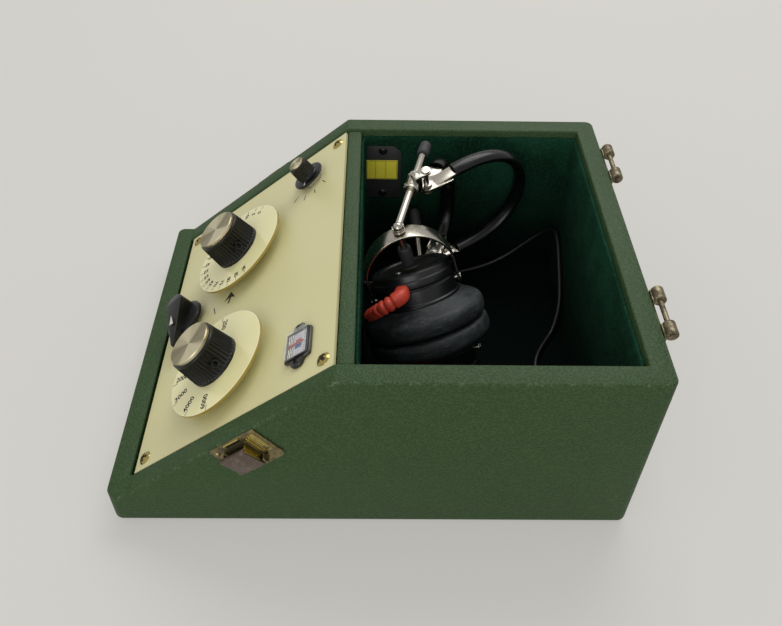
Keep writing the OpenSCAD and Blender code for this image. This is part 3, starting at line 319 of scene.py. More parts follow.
def panel_enamel(f):
    """Satin cream enamel, a little rubbed and yellowed."""
    look = bpy.context.scene.audiometer_panel
    clouds = f.noise(16.0, 4.0, 0.6)
    specks = f.ramp(f.cells(260.0), 0.03, 0.06)
    tone = f.mix(clouds, look.enamel, look.enamel_aged)
    tone = f.mix((1 - specks) * 0.35, tone, look.enamel_speck)
    f.set(base_color=tone, roughness=0.32 + 0.12 * f.noise(70.0, 3.0), coat_weight=0.12, coat_roughness=0.3)
    f.bump(f.noise(900.0, 2.0), 0.06, 0.0002)


def dial_plate(f, at):
    """A cream dial under a clear face, with an amber edge."""
    x, y, z = f.axes(slope_frame(*at, DIAL_LIFT))
    radius = (x * x + y * y) ** 0.5
    rim = f.ramp(radius, (DIAL_R - 0.75) * MM, (DIAL_R - 0.35) * MM)
    side = f.ramp(radius, (DIAL_R - 0.3) * MM, (DIAL_R - 0.05) * MM)
    tone = f.mix(f.noise(30.0, 3.0, 0.6), rgb("#e9e4b0"), rgb("#e0d99e"))
    tone = f.mix(rim, tone, rgb("#f0edc8"))
    tone = f.mix(side, tone, rgb("#9a8534"))
    scratches = f.noise(220.0, 4.0, 0.75)
    f.set(base_color=tone, roughness=0.16 + 0.16 * scratches, coat_weight=0.5, coat_roughness=0.08)
    f.bump(scratches, 0.03, 0.0001)


def spun_cap(f, at):
    """Spun aluminium: finely spaced rings, and the bright and dark sectors of its reflection, painted into
    its colour as highlight and shade.
    """
    x, y, z = f.axes(slope_frame(*at))
    radius = (x * x + y * y) ** 0.5
    turn = y.angle_from(x)
    rings = f.noise(1.0, 3.0, 0.8, f.node("ShaderNodeCombineXYZ", {}, radius * 4200.0))
    # Painted highlight and shade: lighter and darker sectors by angle stand in for the reflection of the spun
    # finish.
    painted_sheen_sector = (turn * 2.0 + 0.9).sine() * 0.5 + 0.5
    painted_sheen_ripple = (turn * 7.0 + 2.0).sine() * 0.5 + 0.5
    tone = f.mix(f.ramp(painted_sheen_sector * 0.75 + painted_sheen_ripple * 0.25, 0.15, 0.85), rgb("#8d8468"), rgb("#e6ddbb"))
    tone = f.mix(rings * 0.35, tone, rgb("#a0957a"))
    f.set(base_color=tone, roughness=0.24 + 0.18 * rings, metallic=1.0)
    f.bump(rings, 0.18, 0.0001)


def cushion_rubber(f, side):
    """Soft black rubber with a dusty bloom smeared round its sides."""
    x, y, z = f.axes(ear_frame(side))
    radius = (x * x + y * y) ** 0.5
    round_about = f.node("ShaderNodeCombineXYZ", {}, y.angle_from(x) * 0.012, z, radius)
    bloom = f.ramp(f.noise(170.0, 5.0, 0.7, round_about), 0.4, 0.7)
    streaks = f.ramp(f.noise(800.0, 4.0, 0.75, round_about), 0.5, 0.72)
    tone = f.mix(bloom * 0.7, rgb("#1d2123"), rgb("#3e4447"))
    tone = f.mix(streaks * 0.4, tone, rgb("#5c6061"))
    f.set(base_color=tone, roughness=0.5 + 0.2 * bloom, specular_ior_level=0.35)
    f.bump(f.noise(800.0, 3.0) + streaks, 0.1, 0.0003)


def antique_brass(f):
    """Thin brass plating over steel, browned and rubbed bright on its edges."""
    patina = f.ramp(f.noise(160.0, 5.0, 0.72), 0.36, 0.66)
    stains = f.ramp(f.noise(520.0, 4.0, 0.7), 0.45, 0.75)
    tone = f.mix(patina, rgb("#8d825a"), rgb("#5c543f"))
    tone = f.mix(stains * 0.6, tone, rgb("#40382c"))
    f.set(base_color=tone, roughness=0.28 + 0.3 * patina, metallic=0.9)
    f.bump(stains + patina, 0.12, 0.0003)


def window_clear(f):
    """A clear moulded cap."""
    f.set(base_color=rgb("#e8ece8"), roughness=0.06, ior=1.49, alpha=0.16, coat_weight=1.0,
          coat_roughness=0.04)


def bare_ply(f):
    """Unpainted plywood, its grain drawn out along two axes."""
    layers = f.node("ShaderNodeMapping", {}, Vector=f.place, Scale=(6.0, 6.0, 160.0))
    grain = f.noise(9.0, 5.0, 0.6, layers)
    f.set(base_color=f.mix(grain, rgb("#b08a58"), rgb("#8a683d")), roughness=0.7)
    f.bump(grain, 0.2, 0.0003)


def board_laminate(f):
    """Green laminate with copper tracks showing through."""
    tracks = f.ramp(f.cells(95.0, "DISTANCE_TO_EDGE"), 0.05, 0.09)
    f.set(base_color=f.mix(tracks, rgb("#8f7a3c"), rgb("#3f5a2c")), roughness=0.45)


def iron_laminations(f):
    """A stack of thin iron sheets, seen edge on."""
    sheets = (f.axes()[1] * 9000.0).sine() * 0.5 + 0.5
    f.set(base_color=f.mix(sheets, rgb("#2b2a28"), rgb("#4a4743")), roughness=0.5, metallic=0.4)
    f.bump(sheets, 0.3, 0.0002)


def backdrop(f):
    """A pale floor that the camera sees evenly lit, and that still takes the object's shadow."""
    look = bpy.context.scene.audiometer_stage
    f.set(base_color=look.floor, roughness=0.9)
    rays = {value.socket.name: value for value in f.outputs("ShaderNodeLightPath")}
    seen = rays["Is Camera Ray"] + rays["Is Glossy Ray"] + rays["Is Transmission Ray"]
    glow = f.node("ShaderNodeEmission", {}, Color=look.floor_seen, Strength=1.0)
    blend = f.node("ShaderNodeMixShader", {}, seen.held() * FLOOR_GLOW, Value(f, f.shader.outputs[0]), glow)
    f.tree.links.new(blend.socket, f.tree.nodes["Material Output"].inputs[0])


def mottled(grain, first, second, bump=None, **settings):
    """A plain finish that drifts between two tones. A bump is (scale, detail, strength, distance)."""
    def make(f):
        f.set(base_color=f.mix(f.noise(*grain), rgb(first), rgb(second)), **settings)
        if bump:
            scale, detail, strength, distance = bump
            f.bump(f.noise(scale, detail), strength, distance)
    return make


def rubbed(grain, edge, first, second, rough, bump=None, share=1.0, **settings):
    """A finish with dull or dusty marks. A bump without a scale of its own is that of the marks."""
    def make(f):
        marks = f.ramp(f.noise(*grain), *edge)
        f.set(base_color=f.mix(marks * share, rgb(first), rgb(second)), roughness=rough[0] + rough[1] * marks,
              **settings)
        if bump:
            *own, strength, distance = bump
            f.bump(f.noise(*own) if own else marks, strength, distance)
    return make


MAKERS = {
    # The case
    "leathercloth": leathercloth,
    "felt": felt,
    "antique_brass": antique_brass,
    "hinge_bronze": rubbed((240.0, 5.0, 0.72), (0.34, 0.66), "#8a8067", "#4d4637", (0.34, 0.24),
                           (0.14, 0.0003), metallic=0.85),
    "browned_lever": rubbed((260.0, 5.0, 0.75), (0.45, 0.75), "#5f5148", "#86786a", (0.34, 0.25),
                            (0.12, 0.0002), metallic=0.65),
    "bright_brass": rubbed((300.0, 4.0, 0.7), (0.5, 0.8), "#b3a362", "#6f6438", (0.16, 0.26), metallic=1.0),
    "cover_black": mottled((90.0, 4.0, 0.6), "#2a2b2b", "#3b3c3b", (1100.0, 2.0, 0.1, 0.0002), roughness=0.5,
                           metallic=0.1),
    "label_yellow": mottled((200.0, 3.0), "#fff552", "#f2e548", roughness=0.42),
    "screw_black": mottled((500.0, 3.0), "#141414", "#2b2a28", roughness=0.35, metallic=0.5),
    # The panel
    "panel_enamel": panel_enamel,
    "ink": mottled((1500.0, 2.0), "#15161a", "#26262a", roughness=0.55),
    "white_ink": mottled((900.0, 2.0), "#d8d6cc", "#bcb9ac", roughness=0.5),
    "decibel_plate": partial(dial_plate, at=DECIBEL_AT),
    "frequency_plate": partial(dial_plate, at=FREQUENCY_AT),
    "decibel_spun": partial(spun_cap, at=DECIBEL_AT),
    "frequency_spun": partial(spun_cap, at=FREQUENCY_AT),
    "selector_spun": partial(spun_cap, at=SELECTOR_AT),
    "knob_phenolic": rubbed((150.0, 5.0, 0.7), (0.5, 0.8), "#060706", "#22231e", (0.3, 0.08),
                            (700.0, 2.0, 0.05, 0.0002), share=0.12, specular_ior_level=0.35, coat_weight=0.05,
                            coat_roughness=0.15),
    "bezel_plated": mottled((260.0, 4.0, 0.7), "#3a3a37", "#121211", (350.0, 3.0, 0.12, 0.0004),
                            roughness=0.14, metallic=0.75, coat_weight=0.7, coat_roughness=0.05),
    "window_clear": window_clear,
    "scale_white": mottled((400.0, 2.0), "#c4c3cb", "#a9a8b2", roughness=0.5),
    "scale_red": mottled((600.0, 2.0), "#b3332a", "#8e251f", roughness=0.45),
    "scale_blue": mottled((600.0, 2.0), "#2b3f8c", "#1f2f6d", roughness=0.45),
    # The headset
    "plated_steel": rubbed((120.0, 5.0, 0.7), (0.5, 0.78), "#b5b0a4", "#857f73", (0.2, 0.26),
                           (600.0, 3.0, 0.04, 0.0002), metallic=1.0),
    "sleeve_vinyl": rubbed((110.0, 4.0, 0.7), (0.45, 0.8), "#070809", "#161718", (0.26, 0.2),
                           (500.0, 2.0, 0.06, 0.0003), share=0.4, specular_ior_level=0.3, coat_weight=0.06,
                           coat_roughness=0.2),
    "receiver_black": rubbed((180.0, 5.0, 0.7), (0.5, 0.8), "#0e0f11", "#26272a", (0.34, 0.12), share=0.3,
                             specular_ior_level=0.4, coat_weight=0.12, coat_roughness=0.15),
    "cushion_rubber_upper": lambda f: cushion_rubber(f, UPPER),
    "cushion_rubber_lower": lambda f: cushion_rubber(f, LOWER),
    "tip_rubber": mottled((300.0, 4.0, 0.7), "#1b1c1d", "#323335", (900.0, 2.0, 0.1, 0.0002), roughness=0.6),
    "boot_red": mottled((160.0, 4.0, 0.65), "#d84b36", "#b43626", (700.0, 2.0, 0.1, 0.0002), roughness=0.5,
                        coat_weight=0.08),
    "cord_black": mottled((240.0, 3.0), "#080908", "#161716", (1200.0, 2.0, 0.08, 0.0002), roughness=0.4),
    # Inside
    "bare_ply": bare_ply,
    "tin_plate": mottled((60.0, 4.0), "#a9aaa6", "#83847f", roughness=0.4, metallic=1.0),
    "switch_phenolic": mottled((120.0, 5.0), "#8a5a34", "#6b4226", roughness=0.55),
    "board_laminate": board_laminate,
    "spacer_nylon": mottled((200.0, 2.0), "#dcd9cd", "#c6c2b2", roughness=0.5),
    "iron_laminations": iron_laminations,
    "battery_jacket": mottled((60.0, 3.0), "#2a3350", "#1e2438", roughness=0.35, metallic=0.3),
    "spring_steel": mottled((100.0, 4.0), "#9b9a95", "#76746f", roughness=0.35, metallic=1.0),
    # Round about
    "backdrop": backdrop,
}


# ---- Objects and meshes ----

def linked(name, data):
    """A new object in the scene."""
    made = bpy.data.objects.new(name, data)
    bpy.context.scene.collection.objects.link(made)
    return made


def settled(made):
    """The plain mesh that an object shows once its modifiers are worked out."""
    bpy.context.view_layer.update()
    return bpy.data.meshes.new_from_object(made.evaluated_get(bpy.context.evaluated_depsgraph_get()))


def shade_smooth(mesh, degrees):
    """Smooth shading, broken at the edges that turn by more than an angle."""
    mesh.polygons.foreach_set("use_smooth", [True] * len(mesh.polygons))
    mesh.set_sharp_from_angle(angle=math.radians(degrees))


def point_outwards(made):
    """Points a closed piece's faces outwards."""
    bm = bmesh.new()
    bm.from_mesh(made.data)
    bmesh.ops.recalc_face_normals(bm, faces=bm.faces)
    bm.to_mesh(made.data)
    bm.free()
    return made


def dress(made, body, slot_name, *nodes):
    """The piece rides on its body and stands for its CAD nodes. Its slot name is not used."""
    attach(made, body)
    if nodes:
        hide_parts(*nodes)
    return made


def coat(node, material):
    """A CAD node whose shape is right gets its real finish."""
    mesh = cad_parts[node].data
    mesh.materials.clear()
    mesh.materials.append(finish(material))


class Form:
    """Faces gathered for one piece, in millimetres."""

    def __init__(self):
        self.points = []
        self.faces = []

    def add(self, points, faces, matrix=None):
        """Adds points and faces, placed by a frame. One that mirrors them has its faces turned back."""
        start = len(self.points)
        mirrored = matrix is not None and matrix.determinant() < 0
        for p in points:
            self.points.append((matrix @ Vector(p)) if matrix is not None else Vector(p))
        for face in faces:
            face = [start + k for k in face]
            self.faces.append(face[::-1] if mirrored else face)
        return self

    def piece(self, name, material, smooth=35.0):
        """The mesh object, smooth up to an angle in degrees, or flat at 0."""
        mesh = bpy.data.meshes.new(name)
        mesh.from_pydata([p * MM for p in self.points], [], self.faces)
        mesh.validate()
        mesh.update()
        mesh.materials.append(finish(material))
        if smooth:
            shade_smooth(mesh, smooth)
        return linked(name, mesh)


def oval(half_w, half_t, sides):
    """The points of an oval, or of a circle where its halves are equal."""
    turns = [2 * math.pi * k / sides for k in range(sides)]
    return [(half_w * math.cos(a), half_t * math.sin(a)) for a in turns]


def arc(centre, radius, start, turn, steps):
    """Points along an arc in XY, from a start and through a turn in degrees."""
    angles = [math.radians(start + turn * k / steps) for k in range(steps + 1)]
    return [(centre[0] + radius * math.cos(a), centre[1] + radius * math.sin(a)) for a in angles]


def rounded_box(low, high, radii):
    """A box in XY whose corners are rounded, taken anticlockwise from the lower right one."""
    near_foot, near_top = radii
    corners = ((high[0] - near_foot, low[1] + near_foot, near_foot),
               (high[0] - near_top, high[1] - near_top, near_top),
               (low[0] + near_top, high[1] - near_top, near_top),
               (low[0] + near_foot, low[1] + near_foot, near_foot))
    out = []
    for k, (x, y, radius) in enumerate(corners):
        out += arc((x, y), radius, 90 * (k - 1), 90, 5)
    return out


def bridge(rows):
    """Faces between each ring of point numbers and the next, without a repeat where one is a pole."""
    faces = []
    for low, high in zip(rows, rows[1:]):
        for k in range(len(low)):
            n = (k + 1) % len(low)
            loop = (low[k], low[n], high[n], high[k])
            faces.append([p for i, p in enumerate(loop) if p not in loop[:i]])
    return [face for face in faces if len(face) > 2]


def lathe(profile, around=64):
    """The points and faces of a profile of (radius, height), bottom to top, turned about Z."""
    points, rows = [], []
    for radius, height in profile:
        pole = radius < 1e-6
        rows.append([len(points)] * around if pole else range(len(points), len(points) + around))
        points += [(x, y, height) for x, y in oval(radius, radius, 1 if pole else around)]
    return points, bridge(rows)


def rounded_profile(corners, radius, steps=4):
    """A profile whose inner corners are rounded, with its two ends kept."""
    out = [corners[0]]
    for before, corner, after in zip(corners, corners[1:], corners[2:]):
        a, c, b = Vector(before), Vector(corner), Vector(after)
        cut = min(radius, (a - c).length * 0.45, (b - c).length * 0.45)
        start, end = c + (a - c).normalized() * cut, c + (b - c).normalized() * cut
        for k in range(steps + 1):
            t = k / steps
            out.append(tuple(start * (1 - t) ** 2 + c * 2 * t * (1 - t) + end * t ** 2))
    return out + [corners[-1]]


def turned(corners, radius, around=64):
    """A turned part: a profile with rounded corners, on the lathe."""
    return lathe(rounded_profile(corners, radius), around)


def spanned(low, high):
    """A bmesh of two matching outlines with the walls between them."""
    bm = bmesh.new()
    low = [bm.verts.new(p) for p in low]
    high = [bm.verts.new(p) for p in high]
    bm.faces.new(low[::-1])
    bm.faces.new(high)
    for k in range(len(low)):
        n = (k + 1) % len(low)
        bm.faces.new((low[k], low[n], high[n], high[k]))
    return bm


def bevel(bm, edges, width, segments):
    bmesh.ops.bevel(bm, geom=edges, offset=width, segments=segments, affect="EDGES", profile=0.5,
                    clamp_overlap=True)


def taken(bm):
    """A bmesh's points and faces. The bmesh is freed."""
    bm.verts.index_update()
    points = [v.co.copy() for v in bm.verts]
    faces = [[v.index for v in f.verts] for f in bm.faces]
    bm.free()
    return points, faces


def rounded(bm, round_by, steps):
    """A bmesh's points and faces, once its edges are rounded."""
    bmesh.ops.recalc_face_normals(bm, faces=bm.faces)
    if round_by:
        bevel(bm, [e for e in bm.edges if e.calc_face_angle(0) > math.radians(30)], round_by, steps)
    return taken(bm)


def block(low, high, round_by=0.0, steps=3):
    """A box with rounded edges, from its low corner to its high corner."""
    bm = bmesh.new()
    bmesh.ops.create_cube(bm, size=1.0)
    low, high = Vector(low), Vector(high)
    for v in bm.verts:
        v.co = Vector([low[k] + (v.co[k] + 0.5) * (high[k] - low[k]) for k in range(3)])
    return rounded(bm, round_by, steps)


def prism(outline, low, high, round_by=0.0, steps=3):
    """An outline in XY raised from low to high, with rounded edges."""
    foot, top = ([(x, y, z) for x, y in outline] for z in (low, high))
    return rounded(spanned(foot, top), round_by, steps)


def sweep(path, section, normals=None, closed_ends=True):
    """A section of (side, up) points, or one for each point of the path, carried along the path."""
    count = len(path)
    sections = section if isinstance(section[0][0], (tuple, list)) else [section] * count
    points = []
    up = Vector((0.01, 0.02, 1))
    for i, at in enumerate(path):
        tangent = (path[min(i + 1, count - 1)] - path[max(i - 1, 0)]).normalized()
        side = tangent.cross(normals[i] if normals else up).normalized()
        lift = side.cross(tangent)
        if not normals:
            up = lift
        points += [at + side * a + lift * b for a, b in sections[i]]
    size = len(sections[0])
    rows = [list(range(i * size, (i + 1) * size)) for i in range(count)]
    faces = bridge(rows)
    if closed_ends:
        faces += [rows[0][::-1], rows[-1]]
    return points, faces if normals else [face[::-1] for face in faces]


def smooth_path(points, steps):
    """A curve through given points."""
    p = [Vector(q) for q in points]
    out = []
    for i in range(len(p) - 1):
        a, b, c, d = p[max(i - 1, 0)], p[i], p[i + 1], p[min(i + 2, len(p) - 1)]
        for k in range(steps):
            u = k / steps
            out.append(0.5 * ((2 * b) + (c - a) * u + (2 * a - 5 * b + 4 * c - d) * u * u
                              + (3 * b - a - 3 * c + d) * u ** 3))
    return out + [p[-1]]


def path_length(path):
    return sum((b - a).length for a, b in zip(path, path[1:]))


def even_path(path, step):
    """The same curve with its points an even step apart."""
    total = path_length(path)
    count = max(2, round(total / step))
    out, i, done = [], 0, 0.0
    for k in range(count + 1):
        want = total * k / count
        while i < len(path) - 2 and done + (path[i + 1] - path[i]).length < want:
            done += (path[i + 1] - path[i]).length
            i += 1
        span = (path[i + 1] - path[i]).length
        out.append(path[i].lerp(path[i + 1], min(1.0, (want - done) / span)))
    return out


def digits(words, size, matrix, form, lift=0.05):
    """Flat numbers, centred on a frame, added to a form."""
    curve = bpy.data.curves.new("digits", "FONT")
    curve.body = words
    curve.size = size
    curve.align_x = "CENTER"
    curve.align_y = "CENTER"
    curve.extrude = lift / 2
    curve.offset = size * 0.02
    curve.resolution_u = 3
    made = linked("digits", curve)
    mesh = settled(made)
    form.add([v.co for v in mesh.vertices], [list(p.vertices) for p in mesh.polygons], matrix)
    bpy.data.objects.remove(made)
    bpy.data.curves.remove(curve)
    bpy.data.meshes.remove(mesh)


def repeated(name, shape, frames, material, smooth=35.0):
    """Copies of a shape on frames, made by Geometry Nodes and turned into one plain mesh."""
    host_mesh = bpy.data.meshes.new(name)
    host_mesh.from_pydata([m.translation * MM for m in frames], [], [])
    turn = host_mesh.attributes.new("turn", "FLOAT_VECTOR", "POINT")
    turn.data.foreach_set("vector", [a for m in frames for a in m.to_euler("XYZ")])
    host = linked(name, host_mesh)
    source = shape.piece(name + "_shape", material, smooth)
    tree = bpy.data.node_groups.new(name + "_tree", "GeometryNodeTree")
    tree.interface.new_socket("Geometry", in_out="INPUT", socket_type="NodeSocketGeometry")
    size = tree.interface.new_socket("Size", in_out="INPUT", socket_type="NodeSocketFloat")
    tree.interface.new_socket("Geometry", in_out="OUTPUT", socket_type="NodeSocketGeometry")
    start, end, one, angle, place, real, paint = [tree.nodes.new(kind) for kind in (
        "NodeGroupInput", "NodeGroupOutput", "GeometryNodeObjectInfo", "GeometryNodeInputNamedAttribute",
        "GeometryNodeInstanceOnPoints", "GeometryNodeRealizeInstances", "GeometryNodeSetMaterial")]
    one.inputs["Object"].default_value = source
    angle.data_type = "FLOAT_VECTOR"
    angle.inputs["Name"].default_value = "turn"
    paint.inputs["Material"].default_value = finish(material)
    for giver, output, taker, socket in (
            (start, "Geometry", place, "Points"), (one, "Geometry", place, "Instance"),
            (angle, "Attribute", place, "Rotation"), (start, "Size", place, "Scale"),
            (place, "Instances", real, "Geometry"), (real, "Geometry", paint, "Geometry"),
            (paint, "Geometry", end, "Geometry")):
        tree.links.new(giver.outputs[output], taker.inputs[socket])
    modifier = host.modifiers.new("repeat", "NODES")
    modifier.node_group = tree
    modifier[size.identifier] = 1.0
    mesh = settled(host)
    host.modifiers.remove(modifier)
    host.data = mesh
    mesh.name = name
    bpy.data.objects.remove(source)
    return host


# ---- Camera and stage ----

PICTURE_W = 782
PICTURE_H = 626
CAMERA_AT = Vector((318.0, 1.38, 359.65))
CAMERA_RIGHT = Vector((0.00346, 0.99989, 0.01432))
CAMERA_FORWARD = Vector((-0.71022, 0.01254, -0.70387))
FOCAL_PX = 815.6
CENTRE_PX = (385.64, 316.06)
FLOOR_HALF = 4000
FLOOR_DROP = 0.3
FLOOR_GLOW = 0.55
LAMP_AIM = Vector((0, 0, 0.04))


def make_camera():
    data = bpy.data.cameras.new("camera")
    data.sensor_width = 36.0
    data.lens = FOCAL_PX * data.sensor_width / PICTURE_W
    data.shift_x = (PICTURE_W / 2 - CENTRE_PX[0]) / PICTURE_W
    data.shift_y = (CENTRE_PX[1] - PICTURE_H / 2) / PICTURE_W
    data.clip_start = 0.01
    data.clip_end = 20.0
    made = linked("camera", data)
    back = -CAMERA_FORWARD.normalized()
    right = (CAMERA_RIGHT - back * CAMERA_RIGHT.dot(back)).normalized()
    axes = Matrix((right, back.cross(right), back)).transposed().to_4x4()
    made.matrix_world = Matrix.Translation(CAMERA_AT * MM) @ axes
    bpy.context.scene.camera = made


def make_lamp(name, at, size, power):
    """A square lamp that faces the object. Its place is in metres."""
    data = bpy.data.lights.new(name, "AREA")
    data.shape = "SQUARE"
    data.size = size
    data.energy = power
    aim = LAMP_AIM - Vector(at)
    linked(name, data).matrix_world = shift(*at) @ aim.to_track_quat("-Z", "Y").to_matrix().to_4x4()


def make_stage():
    look = bpy.context.scene.audiometer_stage
    signs = ((-1, -1), (1, -1), (1, 1), (-1, 1))
    corners = [(x * FLOOR_HALF, y * FLOOR_HALF, -FLOOR_DROP) for x, y in signs]
    Form().add(corners, [[0, 1, 2, 3]]).piece("floor", "backdrop", 0)
    world = bpy.data.worlds.new("studio")
    bpy.context.scene.world = world
    world.use_nodes = True
    nodes, links = world.node_tree.nodes, world.node_tree.links
    lit = nodes["Background"]
    lit.inputs["Color"].default_value = (1.0, 0.99, 0.97, 1.0)
    lit.inputs["Strength"].default_value = look.sky
    seen = nodes.new("ShaderNodeBackground")
    seen.inputs["Color"].default_value = look.floor_seen
    rays = nodes.new("ShaderNodeLightPath")
    blend = nodes.new("ShaderNodeMixShader")
    links.new(rays.outputs["Is Camera Ray"], blend.inputs[0])
    links.new(lit.outputs[0], blend.inputs[1])
    links.new(seen.outputs[0], blend.inputs[2])
    links.new(blend.outputs[0], nodes["World Output"].inputs[0])
    make_lamp("key", (-0.95, 0.3, 1.4), 1.1, look.key)
    make_lamp("fill", (1.5, -0.35, 0.75), 1.2, look.fill)
    bpy.context.scene.view_settings.view_transform = "Standard"


# ---- Cords ----

CORD_D = 3.2
LEAD_D = 2.4
CORD_STEP = 2.5
LEAD_STEP = 2.0
COIL_AT = Vector((56, 84, 0))
COIL_R = 18.0
COIL_FLOOR = 7.2
COIL_STEPS = 28
# The last part of each turn, over which the cord moves on to the next.
COIL_SHIFT = 0.3
# Each turn's place across the coil and its layer, counted in cord diameters.
COIL_TURNS = ((-1, 0), (0, 0), (1, 0), (1, 1), (0, 1), (-1, 1))
TIE_HALF_W = 6.4
TIE_HALF_H = 4.4
CORD_POINTS = [
    (-60, -6, 14), (-61, 2, 13.2), (-63, 10, 11.4), (-66, 20, 9.6), (-70, 32, 9), (-74, 46, 9),
    (-78, 60, 9.6), (-81, 73, 12), (-84, 86, 18), (-85.5, 98, 28), (-84.5, 107, 37), (-79, 111.8, 42),
    (-70, 113, 40.5), (-58, 113, 34.5), (-48, 113, 27.5), (-39, 112.6, 20.5), (-31, 110.6, 13.5),
    (-22, 106.6, 9.6), (-11, 99.6, 9), (1, 94.4, 9), (13, 94, 9), (24, 98, 9), (35, 104, 9),
    (45, 107.6, 9),
]
UPPER_LEAD = [
    (20.5, -1, 65.4), (20.4, -2.8, 63), (22, -4.2, 57.5), (25.4, -4.3, 50), (28.6, -4.3, 40),
    (31.6, -4.2, 28), (36, -3.6, 17), (43, -1, 10.4), (51, 4, 9), (60, 12, 9), (68, 24, 9),
    (74, 39, 9), (77.6, 54, 9), (79.8, 69, 9), (80.7, 84, 9),
]
LOWER_LEAD = [
    (37.5, 9.5, 35.4), (36.2, 6.9, 34.8), (35.4, 3.4, 31.6), (36.6, 1.4, 25), (40, 2.4, 16.5),
    (45.6, 7, 10.2), (51.6, 14, 9), (57, 25, 9), (60.6, 37, 9), (63, 48, 9), (62, 56, 9), (56, 59.3, 9),
]


def coil_path():
    """Six turns that lie beside and on each other, each a cord's diameter from the next."""
    out = []
    for k in range(len(COIL_TURNS) * COIL_STEPS + 1):
        turn, part = divmod(k, COIL_STEPS)
        here = COIL_TURNS[min(turn, len(COIL_TURNS) - 1)]
        following = COIL_TURNS[min(turn + 1, len(COIL_TURNS) - 1)]
        gone = max(0.0, (part / COIL_STEPS - 1 + COIL_SHIFT) / COIL_SHIFT)
        ease = gone * gone * (3 - 2 * gone)
        across = here[0] + (following[0] - here[0]) * ease
        level = here[1] + (following[1] - here[1]) * ease
        radius = COIL_R + across * CORD_D
        angle = math.radians(90) - 2 * math.pi * k / COIL_STEPS
        height = COIL_FLOOR + CORD_D * (0.5 + level)
        out.append(COIL_AT + Vector((radius * math.cos(angle), radius * math.sin(angle), height)))
    return out


def cord_piece(name, path, diameter, sides, *nodes):
    form = Form().add(*sweep(path, oval(diameter / 2, diameter / 2, sides)))
    return dress(form.piece(name, "cord_black", 60), "case", "cord_black", *nodes)


def make_cords():
    """The headset's cord, its coil with a tie, the splitter and the two leads."""
    lay = even_path(smooth_path(CORD_POINTS, 8), CORD_STEP)
    coil = coil_path()
    main_path = smooth_path(lay[:-4:3] + [lay[-4]] + coil[::2], 4)
    main = cord_piece("headset_main_cord", main_path, CORD_D, 12, "headset_cord", "cord_coil")
    leads = []
    for name, points in (("upper_ear_lead", UPPER_LEAD), ("lower_ear_lead", LOWER_LEAD)):
        path = even_path(smooth_path(points, 8), LEAD_STEP)
        leads.append((cord_piece(name, path, LEAD_D, 10, "headset_leads"), path))
    tie_path = []
    for x, z in oval(TIE_HALF_W, TIE_HALF_H, 24) + [(TIE_HALF_W, 0.0)]:
        height = max(COIL_FLOOR + CORD_D + z, COIL_FLOOR + 0.5)
        tie_path.append(COIL_AT + Vector((COIL_R + x, 0, height)))
    tie = Form().add(*sweep(tie_path, oval(0.6, 0.6, 8), [Vector((0, 1, 0))] * len(tie_path)))
    tie = dress(tie.piece("cord_tie", "tip_rubber"), "case", "cord_black")
    barrel = turned([(0, -6), (2.4, -6), (3.1, 0), (2.4, 6), (0, 6)], 1.2, 20)
    split = Form().add(*barrel, along(coil[-1], (1, 0, 0))).piece("cord_splitter", "tip_rubber")
    split = dress(split, "case", "cord_black")
    tuple(main_path[0] * MM)
    path_length(main_path) * MM
    [tuple(p * MM) for p in main_path]
    for made, path in leads:
        back = path[::-1]
        tuple(back[0] * MM)
        path_length(back) * MM
        [tuple(p * MM) for p in back]


# ---- Case ----

# How far the cutter of the compartment stands over the case.
CUT_OVER = 30
FELT_CORNER = 4.0
FELT_STEP = 3.5
FELT_ROWS = 26
FUZZ_SEED = 7
FUZZ_DEPTH = 26.0
FUZZ_CORNER = 4.5
FIBRES_PER_MM = 7
FIBRE_W = 0.11


def make_case():
    """The covered shell: one outline across the case, rounded and hollowed, and the partition's board."""
    look = bpy.context.scene.audiometer_case
    outline = [(-CASE_HALF_D, 0), (CASE_HALF_D, 0), (CASE_HALF_D, CASE_H), (BREAK_Y, CASE_H),
               (SLOPE_FOOT_Y, FRONT_H), (-CASE_HALF_D, FRONT_H)]
    bm = spanned(*([(x, y, z) for y, z in outline] for x in (-CASE_HALF_W, CASE_HALF_W)))
    bmesh.ops.recalc_face_normals(bm, faces=bm.faces)
    upright = [e for e in bm.edges if abs((e.verts[0].co - e.verts[1].co).normalized().z) > 0.99]
    bevel(bm, upright, look.corner_radius / MM, 8)
    foot = [e for e in bm.edges if all(v.co.z < 0.01 for v in e.verts) and len(e.link_faces) == 2
            and any(abs(f.normal.z) < 0.5 for f in e.link_faces)]
    bevel(bm, foot, look.foot_radius / MM, 6)
    shell = Form().add(*taken(bm)).piece("case_shell", "leathercloth", 0)
    hollow = Form().add(*block((-ROOM_HALF_W, SLOPE_FOOT_Y, FLOOR_T),
                               (ROOM_HALF_W, FELT_HIGH.y, CASE_H + CUT_OVER)))
    hollow = hollow.piece("hollow", "leathercloth", 0)
    cut = shell.modifiers.new("cut", "BOOLEAN")
    cut.object = hollow
    cut.operation = "DIFFERENCE"
    cut.solver = "EXACT"
    soften = shell.modifiers.new("soften", "BEVEL")
    soften.width = look.edge_radius
    soften.segments = 3
    soften.limit_method = "ANGLE"
    soften.angle_limit = math.radians(28)
    mesh = settled(shell)
    shell.modifiers.clear()
    shell.data = mesh
    shade_smooth(mesh, 28)
    bpy.data.objects.remove(hollow)
    dress(shell, "case", "case_leatherette", "case_bottom", "case_side_left", "case_side_right", "case_front",
          "case_back")
    wall = Form().add(*block((-ROOM_HALF_W, PARTITION_LOW.y, PARTITION_LOW.z),
                             (ROOM_HALF_W, PARTITION_HIGH.y, PARTITION_HIGH.z), 1.0))
    dress(wall.piece("partition_board", "leathercloth"), "case", "case_leatherette", "partition")
    coat("panel_cleats", "bare_ply")


